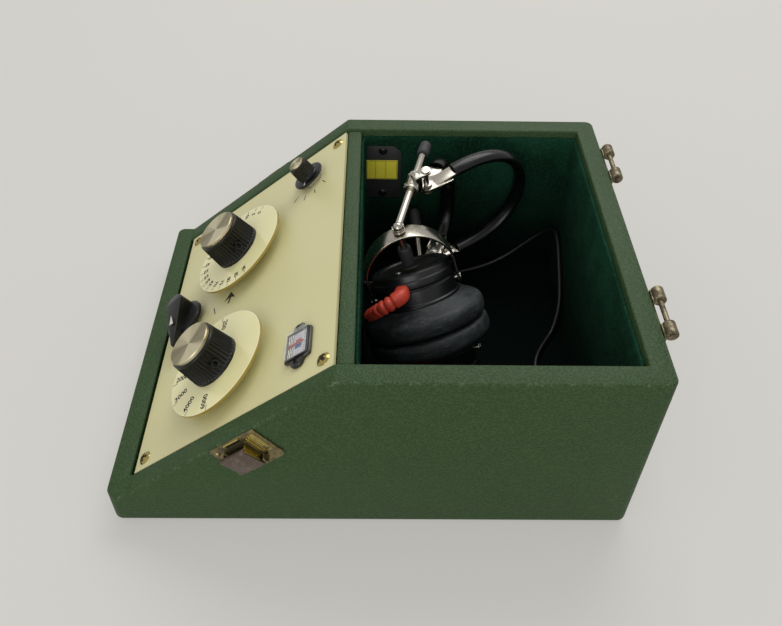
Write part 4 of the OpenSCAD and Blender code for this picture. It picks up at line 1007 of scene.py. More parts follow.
def make_felt():
    """The lining: five faces of felt, a little uneven, with rounded inner corners and a ragged top edge."""
    low = FELT_LOW + Vector((FELT_T, FELT_T, FELT_T))
    high = FELT_HIGH - Vector((FELT_T, FELT_T, 0))
    ring = [Vector((x, y, 0)) for x, y in rounded_box(low, high, (FELT_CORNER, FELT_CORNER))]
    places = []
    for a, b in zip(ring, ring[1:] + ring[:1]):
        parts = max(1, round((b - a).length / FELT_STEP))
        places += [a.lerp(b, k / parts) for k in range(parts)]
    middle = Vector(((low.x + high.x) / 2, (low.y + high.y) / 2, 0))
    points, rows = [], []
    for row in range(FELT_ROWS + 1):
        part = row / FELT_ROWS
        top = row == FELT_ROWS
        rows.append(list(range(len(points), len(points) + len(places))))
        for p in places:
            z = low.z + (high.z - low.z) * part
            wave = noise.noise(Vector((p.x, p.y, z)) * 0.06) * 0.35 * math.sin(math.pi * part)
            ragged = noise.noise(Vector((p.x, p.y, 7.0)) * 0.9) * 0.5 - 0.5 if top else 0.0
            points.append(Vector((p.x, p.y, z + ragged)) + (middle - p).normalized() * (wave * 0.5 + 0.15))
    inward = [face[:1] + face[:0:-1] for face in bridge(rows)]
    made = Form().add(points, inward + [rows[0]]).piece("felt_walls", "felt", 60)
    thick = made.modifiers.new("thickness", "SOLIDIFY")
    thick.thickness = FELT_T * MM * 0.95
    thick.offset = -1.0
    mesh = settled(made)
    made.modifiers.clear()
    made.data = mesh
    dress(made, "case", "felt_green", "felt_lining")


def make_fuzz():
    """Loose fibres along the cut top edge of the felt, and pile standing off the walls below it."""
    random = Random(FUZZ_SEED)
    low = FELT_LOW + Vector((FELT_T, FELT_T, 0))
    high = FELT_HIGH - Vector((FELT_T, FELT_T, 0))
    plan = ((low.x, low.y), (high.x, low.y), (high.x, high.y), (low.x, high.y))
    corners = [Vector((x, y, 0)) for x, y in plan]
    form = Form()
    for a, b in zip(corners, corners[1:] + corners[:1]):
        length = (b - a).length
        ahead = (b - a).normalized()
        inward = UP.cross(ahead)
        for _ in range(round(length * FIBRES_PER_MM)):
            place = random.uniform(FUZZ_CORNER, length - FUZZ_CORNER)
            depth = FUZZ_DEPTH * random.random() ** 2
            root = a + ahead * place + Vector((0, 0, FELT_HIGH.z - 0.9 - depth)) + inward * 0.25
            reach = random.uniform(0.5, 1.3)
            lean = ahead * random.uniform(-1, 1)
            outward = inward * random.uniform(0.3, 1.0) + lean + UP * random.uniform(-0.5, 0.9)
            tip = root + outward.normalized() * reach
            bend = (root + tip) / 2 + inward * reach * 0.25
            across = (tip - root).cross(inward).normalized() * FIBRE_W / 2
            outline = [root - across, root + across, bend + across, bend - across, tip]
            form.add(outline, [[0, 1, 2, 3], [3, 2, 4]])
    dress(form.piece("felt_fuzz", "felt", 0), "case", "felt_green")


# ---- Panel ----

PRINT_T = 0.06
SELECTOR_TICKS = ((-56.5, 113.2, -53.0, 115.6), (-52.6, 107.6, -48.8, 108.6), (-52.4, 101.2, -48.8, 100.2),
                  (-56.5, 95.6, -53.2, 92.4))
SELECTOR_TICK_W = 0.5
INDEX_LINE = (2.9, 40, -2.4, 38.2)
INDEX_LINE_W = 0.6
INDEX_ARROW = [(-7.6, 50.6), (-2.4, 46.2), (-3.3, 50.1), (0.8, 49.2), (0.9, 50.5), (-3.1, 51.4), (-1.2, 54.6)]


def mark(form, ends, width):
    """A printed line on the panel between two places."""
    a, b = Vector((*ends[:2], 0)), Vector((*ends[2:], 0))
    across = (b - a).normalized().cross(UP) * width / 2
    corners = [a - across, b - across, b + across, a + across]
    form.add(*prism([(c.x, c.y) for c in corners], 0.0, PRINT_T), slope_frame(0, 0, PANEL_H))


def make_panel():
    coat("panel_plate", "panel_enamel")
    form = Form()
    for ends in SELECTOR_TICKS:
        mark(form, ends, SELECTOR_TICK_W)
    mark(form, INDEX_LINE, INDEX_LINE_W)
    form.add(*prism(INDEX_ARROW, 0.0, PRINT_T), slope_frame(0, 0, PANEL_H))
    dress(form.piece("panel_printing", "ink", 0), "case", "screw_black")
    coat("control_nuts", "plated_steel")


# ---- Dials and knobs ----

DECIBEL_START = 146
DECIBEL_STEP = 13
DECIBELS = range(0, 95, 5)
TONE_END = -5
TONE_STEP = 30
TONES = (250, 500, 1000, 2000, 3000, 4000, 6000)
TICK_HALF_W = 0.13
KNOB_RIBS = 44
RIB_DEPTH = 0.8
POINTS_PER_RIB = 8
SET_SCREW_H = 6
SET_SCREW_TURN = 40
KNOB_FOOT = 2.0


def fluted_knob(base_r, top_r, height, ribs, depth):
    """A tapered grip whose upright ribs are rounded, smooth at its foot and its top."""
    around = ribs * POINTS_PER_RIB
    # Each level's height, how plain it is there, and how far it draws in.
    levels = [(0.0, 1.0, 0.5), (0.0, 1.0, 0.0), (0.5, 1.0, 0.0), (1.2, 1.0, 0.0), (1.5, 0.35, 0.0),
              (1.9, 0.0, 0.0), (height - 1.9, 0.0, 0.0), (height - 1.4, 0.5, 0.0), (height - 1.0, 1.0, 0.0),
              (height - 0.4, 1.0, 0.0), (height, 1.0, 0.5)]
    points, rows = [(0, 0, 0)], [[0] * around]
    for z, plain, draw in levels:
        rows.append(range(len(points), len(points) + around))
        for k in range(around):
            angle = 2 * math.pi * k / around
            wave = (0.5 - 0.5 * math.cos(ribs * angle)) ** 0.6
            radius = base_r + (top_r - base_r) * z / height - depth * wave * (1 - plain) - draw
            points.append((radius * math.cos(angle), radius * math.sin(angle), z))
    rows.append([len(points)] * around)
    points.append((0, 0, height))
    return points, bridge(rows)


def make_dial(word, at, labels, print_size, print_in, print_turn, tick_ends, tick_turn):
    """A numbered disc with its fluted knob, spun cap and set screw. Its numbers lie at angles in degrees."""
    base, body = slope_frame(*at), word + "_control"
    disc = turned([(DIAL_BORE_R, DIAL_LIFT), (DIAL_R, DIAL_LIFT), (DIAL_R, DIAL_TOP),
                   (DIAL_BORE_R, DIAL_TOP)], 0.35, 128)
    disc = Form().add(*disc, base).piece(word + "_disc", word + "_plate")
    dress(disc, body, "dial_cream", word + "_dial")
    numbers = Form()
    for angle, number in labels:
        place = base @ spin(angle) @ shift(DIAL_R - print_in, 0, DIAL_TOP + 0.03) @ spin(print_turn)
        digits(str(number), print_size, place, numbers)
    dress(numbers.piece(word + "_numbers", "ink", 0), body, "dial_cream")
    tick = Form().add(*block((tick_ends[0], -TICK_HALF_W, 0.0), (tick_ends[1], TICK_HALF_W, PRINT_T)))
    frames = [base @ spin(angle + tick_turn) @ shift(DIAL_R - 1.9, 0, DIAL_TOP + 0.01)
              for angle, number in labels]
    dress(repeated(word + "_ticks", tick, frames, "ink", 0), body, "dial_cream")
    knob = fluted_knob(KNOB_BASE_R, KNOB_TOP_R, KNOB_H, KNOB_RIBS, RIB_DEPTH)
    knob = Form().add(*knob, base @ shift(z=DIAL_TOP))
    dress(knob.piece(word + "_grip", "knob_phenolic", 50), body, "knob_black", word + "_knob")
    face = [(0, 0), (CAP_R + 0.1, 0.0), (CAP_R + 0.1, CAP_T - 0.5), (CAP_R - 0.3, CAP_T),
            (CAP_R - 1.0, CAP_T - 0.12), (CAP_R * 0.5, CAP_T - 0.3), (0.5, CAP_T - 0.34), (0, CAP_T - 0.3)]
    cap = Form().add(*lathe(face, 96), base @ shift(z=DIAL_TOP + KNOB_H))
    dress(cap.piece(word + "_cap_face", word + "_spun", 30), body, "cap_metal", word + "_cap")
    screw = turned([(0, -1.2), (1.5, -1.2), (1.5, 0.05), (2.1, 0.25), (2.1, -0.3)], 0.2, 24)
    across = base @ shift(z=DIAL_TOP + SET_SCREW_H) @ spin(SET_SCREW_TURN)
    hole = Form().add(*screw, across @ along((KNOB_BASE_R - 0.5, 0, 0), (1, 0, 0)))
    dress(hole.piece(word + "_set_screw", "screw_black"), body, "knob_black")
    coat(word + "_shaft", "plated_steel")


def make_dials():
    decibels = [(DECIBEL_START + DECIBEL_STEP * k, number) for k, number in enumerate(DECIBELS)]
    make_dial("decibel", DECIBEL_AT, decibels, 3.7, 5.3, 0, (-1.1, 1.1), 0)
    tones = [(TONE_END - TONE_STEP * (len(TONES) - 1 - k), number) for k, number in enumerate(TONES)]
    make_dial("frequency", FREQUENCY_AT, tones, 4.3, 6.4, 180, (-1.7, 1.5), 5)


def make_selector():
    """The selector: a skirt and a fluted grip under a spun cap, with a white line on the skirt."""
    base, foot, top = slope_frame(*SELECTOR_AT), KNOB_FOOT, 12.0
    skirt = turned([(0, foot), (9.7, foot), (9.7, foot + 0.9), (8.6, foot + 1.3), (6.4, foot + 1.5),
                    (6.0, foot + 2.0), (0, foot + 2.0)], 0.3, 72)
    form = Form().add(*skirt, base)
    form.add(*fluted_knob(6.0, 5.7, top - foot - 1.0, 30, 0.3), base @ shift(z=foot + 1.0))
    dress(form.piece("selector_grip", "knob_phenolic", 45), "selector", "knob_grey", "selector_knob")
    cap = turned([(0, 0), (4.5, 0), (4.5, 1.0), (4.1, 1.3), (0, 1.15)], 0.2, 48)
    cap = Form().add(*cap, base @ shift(z=top)).piece("selector_cap_face", "selector_spun")
    dress(cap, "selector", "cap_metal", "selector_cap")
    line = Form().add(*block((6.6, -0.35, foot + 1.24), (9.0, 0.35, foot + 1.5), 0.1, 1), base @ spin(-10))
    dress(line.piece("selector_index", "white_ink", 0), "selector", "knob_grey")
    coat("selector_shaft", "plated_steel")


def make_pointer():
    """The pointer knob: a round base under a bar that narrows to its tip and slopes down to it."""
    base = slope_frame(*POINTER_AT)
    foot, top, tip_top = KNOB_FOOT, 13.0, 7.0
    tail_r, tip_r, tail_x, reach = 6.5, 1.3, 6.0, 23.0
    rise = (top - tip_top) / reach
    disc = turned([(0, foot), (12.5, foot), (12.5, foot + 1.8), (11.4, foot + 2.6), (0, foot + 2.6)], 0.5, 72)
    form = Form().add(*disc, base)
    lean = math.degrees(math.asin((tail_r - tip_r) / (reach - tip_r + tail_x)))
    outline = arc((-tail_x, 0), tail_r, 90 + lean, 180, 16) + arc((reach - tip_r, 0), tip_r, -90, 180, 6)
    high = [(x * 0.985, y * 0.86, top - max(0.0, x) * rise - max(0.0, -x - 1) * 0.05) for x, y in outline]
    bm = spanned([(x, y, foot + 0.4) for x, y in outline], high)
    bmesh.ops.triangulate(bm, faces=[f for f in bm.faces if len(f.verts) > 4])
    bmesh.ops.dissolve_limit(bm, angle_limit=math.radians(2), verts=bm.verts, edges=bm.edges)
    form.add(*rounded(bm, 0.7, 3), base)
    dress(form.piece("pointer_grip", "knob_phenolic", 40), "pointer", "knob_black", "pointer_knob")
    triangle = [(4.0, 0.0), (9.5, -1.5), (9.5, 1.5)]
    points = [(x, y, top - x * rise + lift) for lift in (0.02, 0.1) for x, y in triangle]
    index = Form().add(points, [[2, 1, 0], [3, 4, 5], [0, 1, 4, 3], [1, 2, 5, 4], [2, 0, 3, 5]], base)
    dress(index.piece("pointer_index", "white_ink", 0), "pointer", "knob_black")
    coat("pointer_shaft", "plated_steel")


# ---- Screws, rivets and studs ----

PANEL_SCREWS = [(x, s) for x in (-83.0, 83.0) for s in (7.5, 123.2)]
PANEL_SCREW_TURNS = (17, 62, -8, 40)
PANEL_SCREW_SIZE = (3.6, 1.7)
HINGE_X = (-58.4, 58.4)
KNUCKLE_OUT = 11.0
LEAF_TOP = CASE_H - 2.5
LEAF_HALF_W = 14.75
LEAF_H = 16.0
LEAF_T = 1.5
HINGE_Y = CASE_HALF_D + 3.5
LATCH_S = 56.5
LATCH_W = 27.5
LATCH_H = 22.5
RIVETS = [(LATCH_S + LATCH_W - 3.3, -13.2), (LATCH_S + 2.2, -4.2), (LATCH_S + 2.2, -11.0)]
STUD_X = 92.0
STUD_Z = (18.0, 88.0)
METER_SCREW_OUT = 10.5
COVER_X = FELT_LOW.x + FELT_T
COVER_T = 1.0
COVER_LOW = (PARTITION_HIGH.y + FELT_T + 0.4, 60.0)
COVER_SIZE = (21.5, 36.0)
COVER_SCREW_Y = COVER_LOW[0] + COVER_SIZE[0] / 2
COVER_SCREW_IN = 3.2
TO_BACK = spin(-90, "X")
TO_RIGHT = spin(90, "Y")


def dome_height(radius, rise, r):
    """The height at r on a dome of that radius and rise."""
    ball = (radius ** 2 + rise ** 2) / (2 * rise)
    return rise - ball + math.sqrt(ball ** 2 - r ** 2)


def crossed_head(radius, rise):
    """A domed screw head with a crossed recess, its flat on z = 0."""
    around = 48
    rings = [1.0, 1.0, 0.9, 0.78, 0.66, 0.56, 0.5, 0.44, 0.36, 0.26, 0.16]
    points, rows = [], []
    for level, part in enumerate(rings):
        rows.append(range(len(points), len(points) + around))
        r = radius * part
        for x, y in oval(r, r, around):
            z = dome_height(radius, rise, r)
            if min(abs(x), abs(y)) < radius * 0.17 and r < radius * 0.62:
                z -= rise * 0.85
            points.append((x, y, z if level else -0.3))
    rows.append([len(points)] * around)
    points.append((0, 0, rise * 0.15))
    return Form().add(points, bridge(rows))


def recess_floor(radius, rise):
    """A dark block in a crossed recess: painted shade on the recess's floor."""
    arm, reach = radius * 0.15, radius * 0.6
    low, high = rise * 0.2, rise * 0.62
    form = Form().add(*block((-reach, -arm, low), (reach, arm, high)))
    return form.add(*block((-arm, -reach, low), (arm, reach, high)))


def plain_dome(radius, rise, lip=0.0):
    """A domed rivet or stud, with a flat lip if it has one."""
    profile = [(radius + lip, -0.3)]
    if lip:
        profile += [(radius + lip, 0.25), (radius, 0.35)]
    for k in range(8):
        r = radius * (1 - k / 7)
        profile.append((r, max(0.0, dome_height(radius, rise, r))))
    return Form().add(*lathe(profile, 32))


def fasten(name, shape, frames, material, slot_name, *nodes):
    """Equal fastenings on their frames, as one piece of the case."""
    dress(repeated(name, shape, frames, material), "case", slot_name, *nodes)


def make_fastenings():
    panel = [slope_frame(x, s, PANEL_H) @ spin(turn) for (x, s), turn in zip(PANEL_SCREWS, PANEL_SCREW_TURNS)]
    fasten("panel_screws", crossed_head(*PANEL_SCREW_SIZE), panel, "bright_brass", "old_brass",
           "brass_screws")
    # Painted shade: dark blocks in the recesses of the panel screws.
    fasten("panel_screw_recesses", recess_floor(*PANEL_SCREW_SIZE), panel, "screw_black", "screw_black")
    leaf = [shift(x + k, CASE_HALF_D + LEAF_T, LEAF_TOP - LEAF_H * 0.6) @ TO_BACK
            for x in HINGE_X for k in (-KNUCKLE_OUT, KNUCKLE_OUT)]
    fasten("hinge_screws", crossed_head(2.8, 1.1), leaf, "hinge_bronze", "old_brass", "brass_screws")
    rivets = [side_frame(1) @ shift(x, y, 1.0) for x, y in RIVETS]
    mirrored = [shift(-m.translation.x, m.translation.y, m.translation.z) @ spin(-90, "Y") for m in rivets]
    fasten("latch_rivets", plain_dome(1.7, 0.8), rivets + mirrored, "antique_brass", "old_brass",
           "brass_screws")
    studs = [shift(x, CASE_HALF_D, z) @ TO_BACK for x in (-STUD_X, STUD_X) for z in STUD_Z]
    fasten("back_stud_domes", plain_dome(4.4, 2.9, 0.6), studs, "antique_brass", "stud_brass", "back_studs")
    cover_z = (COVER_LOW[1] + COVER_SCREW_IN, COVER_LOW[1] + COVER_SIZE[1] - COVER_SCREW_IN)
    cover = [shift(COVER_X + COVER_T, COVER_SCREW_Y, z) @ TO_RIGHT @ Matrix.Rotation(0.5, 4, "Z")
             for z in cover_z]
    fasten("cover_screws", crossed_head(2.6, 1.2), cover, "screw_black", "screw_black", "black_screws")
    meter = [slope_frame(METER_AT[0] + k * METER_SCREW_OUT, METER_AT[1], 1.2) for k in (-1, 1)]
    fasten("meter_screws", crossed_head(1.7, 0.9), meter, "screw_black", "screw_black", "black_screws")


# ---- Meter ----

METER_HALF = (8.25, 6.5)
METER_TABS = [(13, 1.6), (12.2, 3.0), (9.2, 4.0), (8.2, 7.5)]
CARD_TOP = 1.44


def make_meter():
    """The edgewise meter: a dark bezel with a clear cap over a white card with a red and a blue zone."""
    base = slope_frame(*METER_AT)
    outline = METER_TABS + [(-x, y) for x, y in reversed(METER_TABS)]
    outline += [(x, -y) for x, y in reversed(outline)]
    bezel = Form().add(*prism(outline, PANEL_H, 1.15, 0.5), base)
    half_x, half_y = METER_HALF
    for low, high in (((-half_x, -half_y, 1.0), (-7.2, half_y, 1.9)),
                      ((7.2, -half_y, 1.0), (half_x, half_y, 1.9)),
                      ((-7.3, -half_y, 1.0), (7.3, -5.6, 1.7)),
                      ((-7.3, 5.6, 1.0), (7.3, half_y, 1.7))):
        bezel.add(*block(low, high, 0.25), base)
    dress(bezel.piece("meter_bezel", "bezel_plated", 40), "case", "meter_bezel", "meter_housing")
    window = Form().add(*block((-8.2, -6.45, 1.25), (8.2, 6.45, 4.15), 1.5, 4), base)
    dress(window.piece("meter_glass", "window_clear", 60), "case", "clear_window", "meter_window")
    card = Form().add(*block((-6.6, -2.2, 1.2), (6.6, 5.2, 1.45), 0.1, 1), base)
    dress(card.piece("meter_card", "scale_white", 30), "case", "meter_bezel")
    for word, low, high in (("red", (-2.6, -0.8), (-0.6, 2.6)), ("blue", (0.4, -1.0), (2.8, 2.8))):
        zone = Form().add(*block((*low, CARD_TOP), (*high, CARD_TOP + 0.08)), base)
        dress(zone.piece("meter_" + word + "_zone", "scale_" + word, 0), "case", "meter_bezel")
    lines = Form()
    for y in (-5.0, -3.9, -2.8):
        lines.add(*block((-6.9, y, 1.1), (6.9, y + 0.35, 1.7), 0.08, 1), base)
    dress(lines.piece("meter_frame_lines", "plated_steel", 30), "case", "meter_bezel")
    ticks = Form()
    for k in range(9):
        ticks.add(*block((-6.2 + 1.5 * k, 3.9, CARD_TOP), (-6.0 + 1.5 * k, 5.0, CARD_TOP + 0.06)), base)
    dress(ticks.piece("meter_ticks", "ink", 0), "case", "meter_bezel")
    coat("meter_needle", "scale_red")


# ---- Latches, hinges and cover plate ----

LEVER_S = LATCH_S + 4.6
LEVER_W = 14.0
LEVER_DROP = 17.5
LEVER_TOP = 13.0
PLATE_T = 1.0
# The dark crescent of painted shadow beneath the lever and the spring: where it starts, how far it runs and
# drops, and its round head.
LEVER_SHADOW_SPAN = 15.0
LEVER_SHADOW_DROP = 5.0
LEVER_SHADOW_AT = (LEVER_S + LEVER_W + 2.6, -16.4)
LEVER_SHADOW_HEAD_AT = (77.4, -16.2)
KNUCKLE_HALF_W = 3.75


def spring_slot():
    """The outline of the dark crescent of painted shadow beneath the lever and the spring, which narrows to
    one end.
    """
    near, far = [], []
    for k in range(13):
        a = k / 12
        x, y = LEVER_SHADOW_AT[0] - LEVER_SHADOW_SPAN * a, LEVER_SHADOW_AT[1] - LEVER_SHADOW_DROP * a ** 0.6
        width = 1.7 * (1 - a) ** 0.7 + 0.15
        near.append((x, y))
        far.append((x + width * 0.6, y + width * 0.3))
    return near + far[::-1]


def make_latch(side, word):
    """A latch: a plate with rounded corners, two ears, a pressed lever, and a curved dark crescent of painted
    shadow beneath the lever.
    """
    base = side_frame(side)
    outline = rounded_box((LATCH_S, -LATCH_H), (LATCH_S + LATCH_W, -0.5), (3, 1.5))
    plate = Form().add(*prism(outline, 0.0, PLATE_T, 0.25, 2), base)
    for x in (LEVER_S - 1.5, LEVER_S + LEVER_W + 0.4):
        plate.add(*block((x, -LEVER_DROP - 1.9, 0.5), (x + 1.05, -LEVER_DROP + 1.9, 4.4), 0.4, 3), base)
    dress(plate.piece("latch_plate_" + word, "antique_brass", 40), "case", "old_brass", "latch_plates")
    pad_x = LEVER_S + LEVER_W + 1.6
    channel = Form().add(*block((pad_x, -15.5, 0.8), (pad_x + 5.6, -2.2, 1.3), 0.15, 2), base)
    for k in range(4):
        x = pad_x + 0.5 + 1.3 * k
        channel.add(*block((x, -14.8, 1.2), (x + 0.7, -3.0, 1.55), 0.12, 1), base)
    channel.add(*block((LEVER_S + 4.6, -1.5, 0.6), (LEVER_S + 13.8, -0.7, 1.9), 0.3, 2), base)
    dress(channel.piece("latch_channel_" + word, "bright_brass", 40), "case", "old_brass")
    pivot = base @ shift(LEVER_S, -LEVER_DROP) @ CYCLE
    cheek = [(0.2, 1.4), (LEVER_TOP - 0.8, 1.4), (LEVER_TOP - 0.6, 5.8), (-0.4, 4.2)]
    sides = Form()
    for x in (0.1, LEVER_W - 0.9):
        sides.add(*prism(cheek, x, x + 0.8, 0.15, 1), pivot)
    dress(sides.piece("latch_cheeks_" + word, "bright_brass", 40), "latch_" + word, "old_brass")
    # Painted shadow: a dark crescent with a round head beneath the lever and the spring, and a dark strip
    # under the channel's top bar.
    lever_shadow = Form().add(*prism(spring_slot(), 0.9, PLATE_T + 0.05), base)
    lever_shadow.add(*block((LEVER_S + 5.0, -3.0, 0.9), (LEVER_S + 13.4, -1.7, PLATE_T + 0.05)), base)
    lever_shadow_head = lathe([(0, 0.9), (0.9, 0.9), (0.9, PLATE_T + 0.06), (0, PLATE_T + 0.06)], 20)
    lever_shadow.add(*lever_shadow_head, base @ shift(*LEVER_SHADOW_HEAD_AT))
    dress(lever_shadow.piece("latch_gap_" + word, "screw_black", 40), "case", "screw_black")
    profile = [(-1.4, 2.0), (-1.8, 3.2), (-1.2, 4.5), (0.2, 5.2), (LEVER_TOP, 6.7), (LEVER_TOP, 4.2),
               (LEVER_TOP - 0.8, 4.2), (LEVER_TOP - 0.8, 5.8), (0.4, 4.3), (-0.4, 3.9), (-0.9, 3.1),
               (-0.6, 2.2)]
    lever = Form().add(*prism(profile, 0.0, LEVER_W, 0.2, 2), pivot)
    dress(lever.piece("latch_lever_cover_" + word, "browned_lever", 40), "latch_" + word, "lever_brown",
          "latch_lever_" + word)


def make_latches():
    make_latch(1, "right")
    make_latch(-1, "left")


def make_hinges():
    """Two hinge leaves with their knuckles, and the pins that the lid would turn on."""
    leaves = Form()
    for x in HINGE_X:
        leaves.add(*block((x - LEAF_HALF_W, CASE_HALF_D, LEAF_TOP - LEAF_H),
                          (x + LEAF_HALF_W, CASE_HALF_D + LEAF_T, LEAF_TOP), 0.5))
    dress(leaves.piece("hinge_leaf_plates", "hinge_bronze", 40), "case", "old_brass", "hinge_leaves")
    half = KNUCKLE_HALF_W
    knuckle = Form().add(*turned([(1.3, -half), (3.0, -half), (3.0, half), (1.3, half)], 0.5, 40), TO_RIGHT)
    leaf_y = CASE_HALF_D - HINGE_Y
    knuckle.add(*block((-half, leaf_y, LEAF_TOP - CASE_H - 1), (half, leaf_y + LEAF_T, 0.4), 0.3))
    frames = [shift(x + k, HINGE_Y, CASE_H) for x in HINGE_X for k in (-KNUCKLE_OUT, KNUCKLE_OUT)]
    fasten("hinge_knuckles", knuckle, frames, "hinge_bronze", "old_brass", "hinge_leaves")
    coat("steel_pins", "hinge_bronze")


def make_cover():
    """The dark cover plate on the compartment's left wall, with a plain ruled label."""
    y0, z0 = COVER_LOW
    width, height = COVER_SIZE
    outline = [(y0, z0), (y0 + width, z0), (y0 + width, z0 + height - 4), (y0 + width - 4, z0 + height),
               (y0, z0 + height)]
    plate = Form().add(*prism(outline, COVER_X, COVER_X + COVER_T, 0.25, 2), CYCLE)
    dress(plate.piece("cover_plate_skin", "cover_black", 40), "case", "cover_paint", "cover_plate")
    low, high = (y0 + 0.9, 73.3), (y0 + 19.4, 86.6)
    label = Form().add(*block((COVER_X + 0.95, *low), (COVER_X + 1.12, *high), 0.05, 1))
    dress(label.piece("cover_label", "label_yellow", 30), "case", "cover_paint")
    columns = (low[0] + 0.5, low[0] + 5.6, low[0] + 11.6, high[0] - 0.5)
    bottom, top = low[1] + 0.5, high[1] - 0.5
    spans = [((y - 0.1, bottom), (y + 0.1, top)) for y in columns]
    spans += [((columns[0], z - 0.1), (columns[-1], z + 0.1)) for z in (bottom, top)]
    rules = Form()
    for start, end in spans:
        rules.add(*block((COVER_X + 1.1, *start), (COVER_X + 1.16, *end)))
    dress(rules.piece("cover_label_rules", "ink", 0), "case", "screw_black")
    coat("cord_grommet", "tip_rubber")


# ---- Headset ----

UPPER = -1
LOWER = 1
STOW_AT = Vector((9.8, 28.9, 48.4))
STOW_TILT = 146.1
STOW_HEADING = 32.3
STOW_SPIN = 116.1
CUSHION_GAP = 0.8
CUSHION_R = 33.0
PIVOT_H = 20.0
YOKE_TILT = {UPPER: 24, LOWER: 96}
YOKE_REACH = 36.5
YOKE_IN = 22.6
YOKE_T = 1.2
YOKE_W = 11.0
YOKE_FOOT_R = 2.6
YOKE_FOOT_DROP = 2.5
STUB_IN = {UPPER: 19.5, LOWER: 10.0}
KNUCKLE_R = 2.8
KNUCKLE_AT = YOKE_REACH + YOKE_T / 2 + 0.3 + KNUCKLE_R
ROD_R = 2.2
ROD_LEN = 77.0
TIP_LEN = 11.0
TIP_R = 3.5
CLAMP_ALONG = 38.0
CLAMP_SIDE = 8.5
CLAMP_FACE = 5.2
ROD_DIR = {UPPER: Vector((-0.975, 0.22, -0.004)).normalized(),
           LOWER: Vector((-0.855, -0.107, 0.51)).normalized()}
BAND_TURN = (math.radians(-30), math.radians(-70))
BAND_DEPTH = (62.0, 34.0)
BAND_BULGE = (15.0, 11.0)
BAND_T = 0.8
BAND_STEPS = 64
SLEEVE_FROM = 17.0
STRIP_FROM = 4.0
WING_T = 1.0
WING_AT = (CLAMP_FACE + 0.3, CLAMP_FACE + 0.6 + WING_T + BAND_T)
WING_END_R = 4.5
WING_RIVETS = (9, 13)
WORDS = {UPPER: "upper", LOWER: "lower"}
ROD_BODY = {UPPER: "rod_upper", LOWER: "headset_base"}


def ear_frame(side):
    """An ear's own frame: its middle on the cushion's face, Z out through the receiver."""
    stowed = Matrix.Translation(STOW_AT) @ spin(STOW_HEADING) @ spin(STOW_TILT, "Y") @ spin(STOW_SPIN)
    return stowed @ spin(180 if side == UPPER else 0, "X") @ shift(z=CUSHION_GAP / 2)


def yoke_frame(side):
    return ear_frame(side) @ shift(z=PIVOT_H) @ spin(YOKE_TILT[side], "X")


def rod_start(side):
    return yoke_frame(side) @ Vector((0, 0, KNUCKLE_AT))


def clamp_point(side):
    return rod_start(side) + ROD_DIR[side] * CLAMP_ALONG


BAND_AXIS = (clamp_point(LOWER) - clamp_point(UPPER)).normalized()
BAND_HALF = (clamp_point(LOWER) - clamp_point(UPPER)).length / 2
BAND_FLAT = (Vector((0, 1, 0)) - BAND_AXIS * BAND_AXIS.y).normalized()
BAND_CROSS = BAND_AXIS.cross(BAND_FLAT)


def band_out(i):
    """The direction in which a band stands off the pins."""
    return BAND_FLAT * math.cos(BAND_TURN[i]) + BAND_CROSS * math.sin(BAND_TURN[i])


HUB_MID = (clamp_point(LOWER) + clamp_point(UPPER)) / 2 + band_out(0) * CLAMP_SIDE


def band_point(i, t):
    across = BAND_HALF - WING_AT[i] - WING_T - BAND_T / 2 + BAND_BULGE[i] * math.sin(t)
    return HUB_MID + band_out(i) * BAND_DEPTH[i] * math.sin(t) - BAND_AXIS * across * math.cos(t)


def band_path(i, reach):
    """Points and outward normals of a band, from a distance off the pins to the same distance again."""
    start = math.asin(reach / BAND_DEPTH[i])
    points, normals = [], []
    for k in range(BAND_STEPS + 1):
        t = start + (math.pi - 2 * start) * k / BAND_STEPS
        tangent = (band_point(i, t + 0.02) - band_point(i, t - 0.02)).normalized()
        points.append(band_point(i, t))
        normals.append(tangent.cross(BAND_AXIS.cross(band_out(i))).normalized())
    return points, normals


def flat_section(half_w, half_t, soft=0.25):
    """A strip's section with softened edges."""
    out = []
    for sx, sy, start in ((1, 1, 0), (-1, 1, 90), (-1, -1, 180), (1, -1, 270)):
        out += arc((sx * (half_w - soft), sy * (half_t - soft)), soft, start, 90, 3)
    return out


def hollow_sweep(path, normals, outer, inner):
    """A sleeve: an outer wall, an inner wall and the rings that join them at both ends."""
    points, faces = sweep(path, outer, normals, closed_ends=False)
    start = len(points)
    inner_points, inner_faces = sweep(path, inner, normals, closed_ends=False)
    points = points + inner_points
    faces = faces + [[start + k for k in face[::-1]] for face in inner_faces]
    size = len(outer)
    last = (len(path) - 1) * size
    for k in range(size):
        n = (k + 1) % size
        faces.append([k, start + k, start + n, n])
        faces.append([last + k, last + n, start + last + n, start + last + k])
    return points, faces


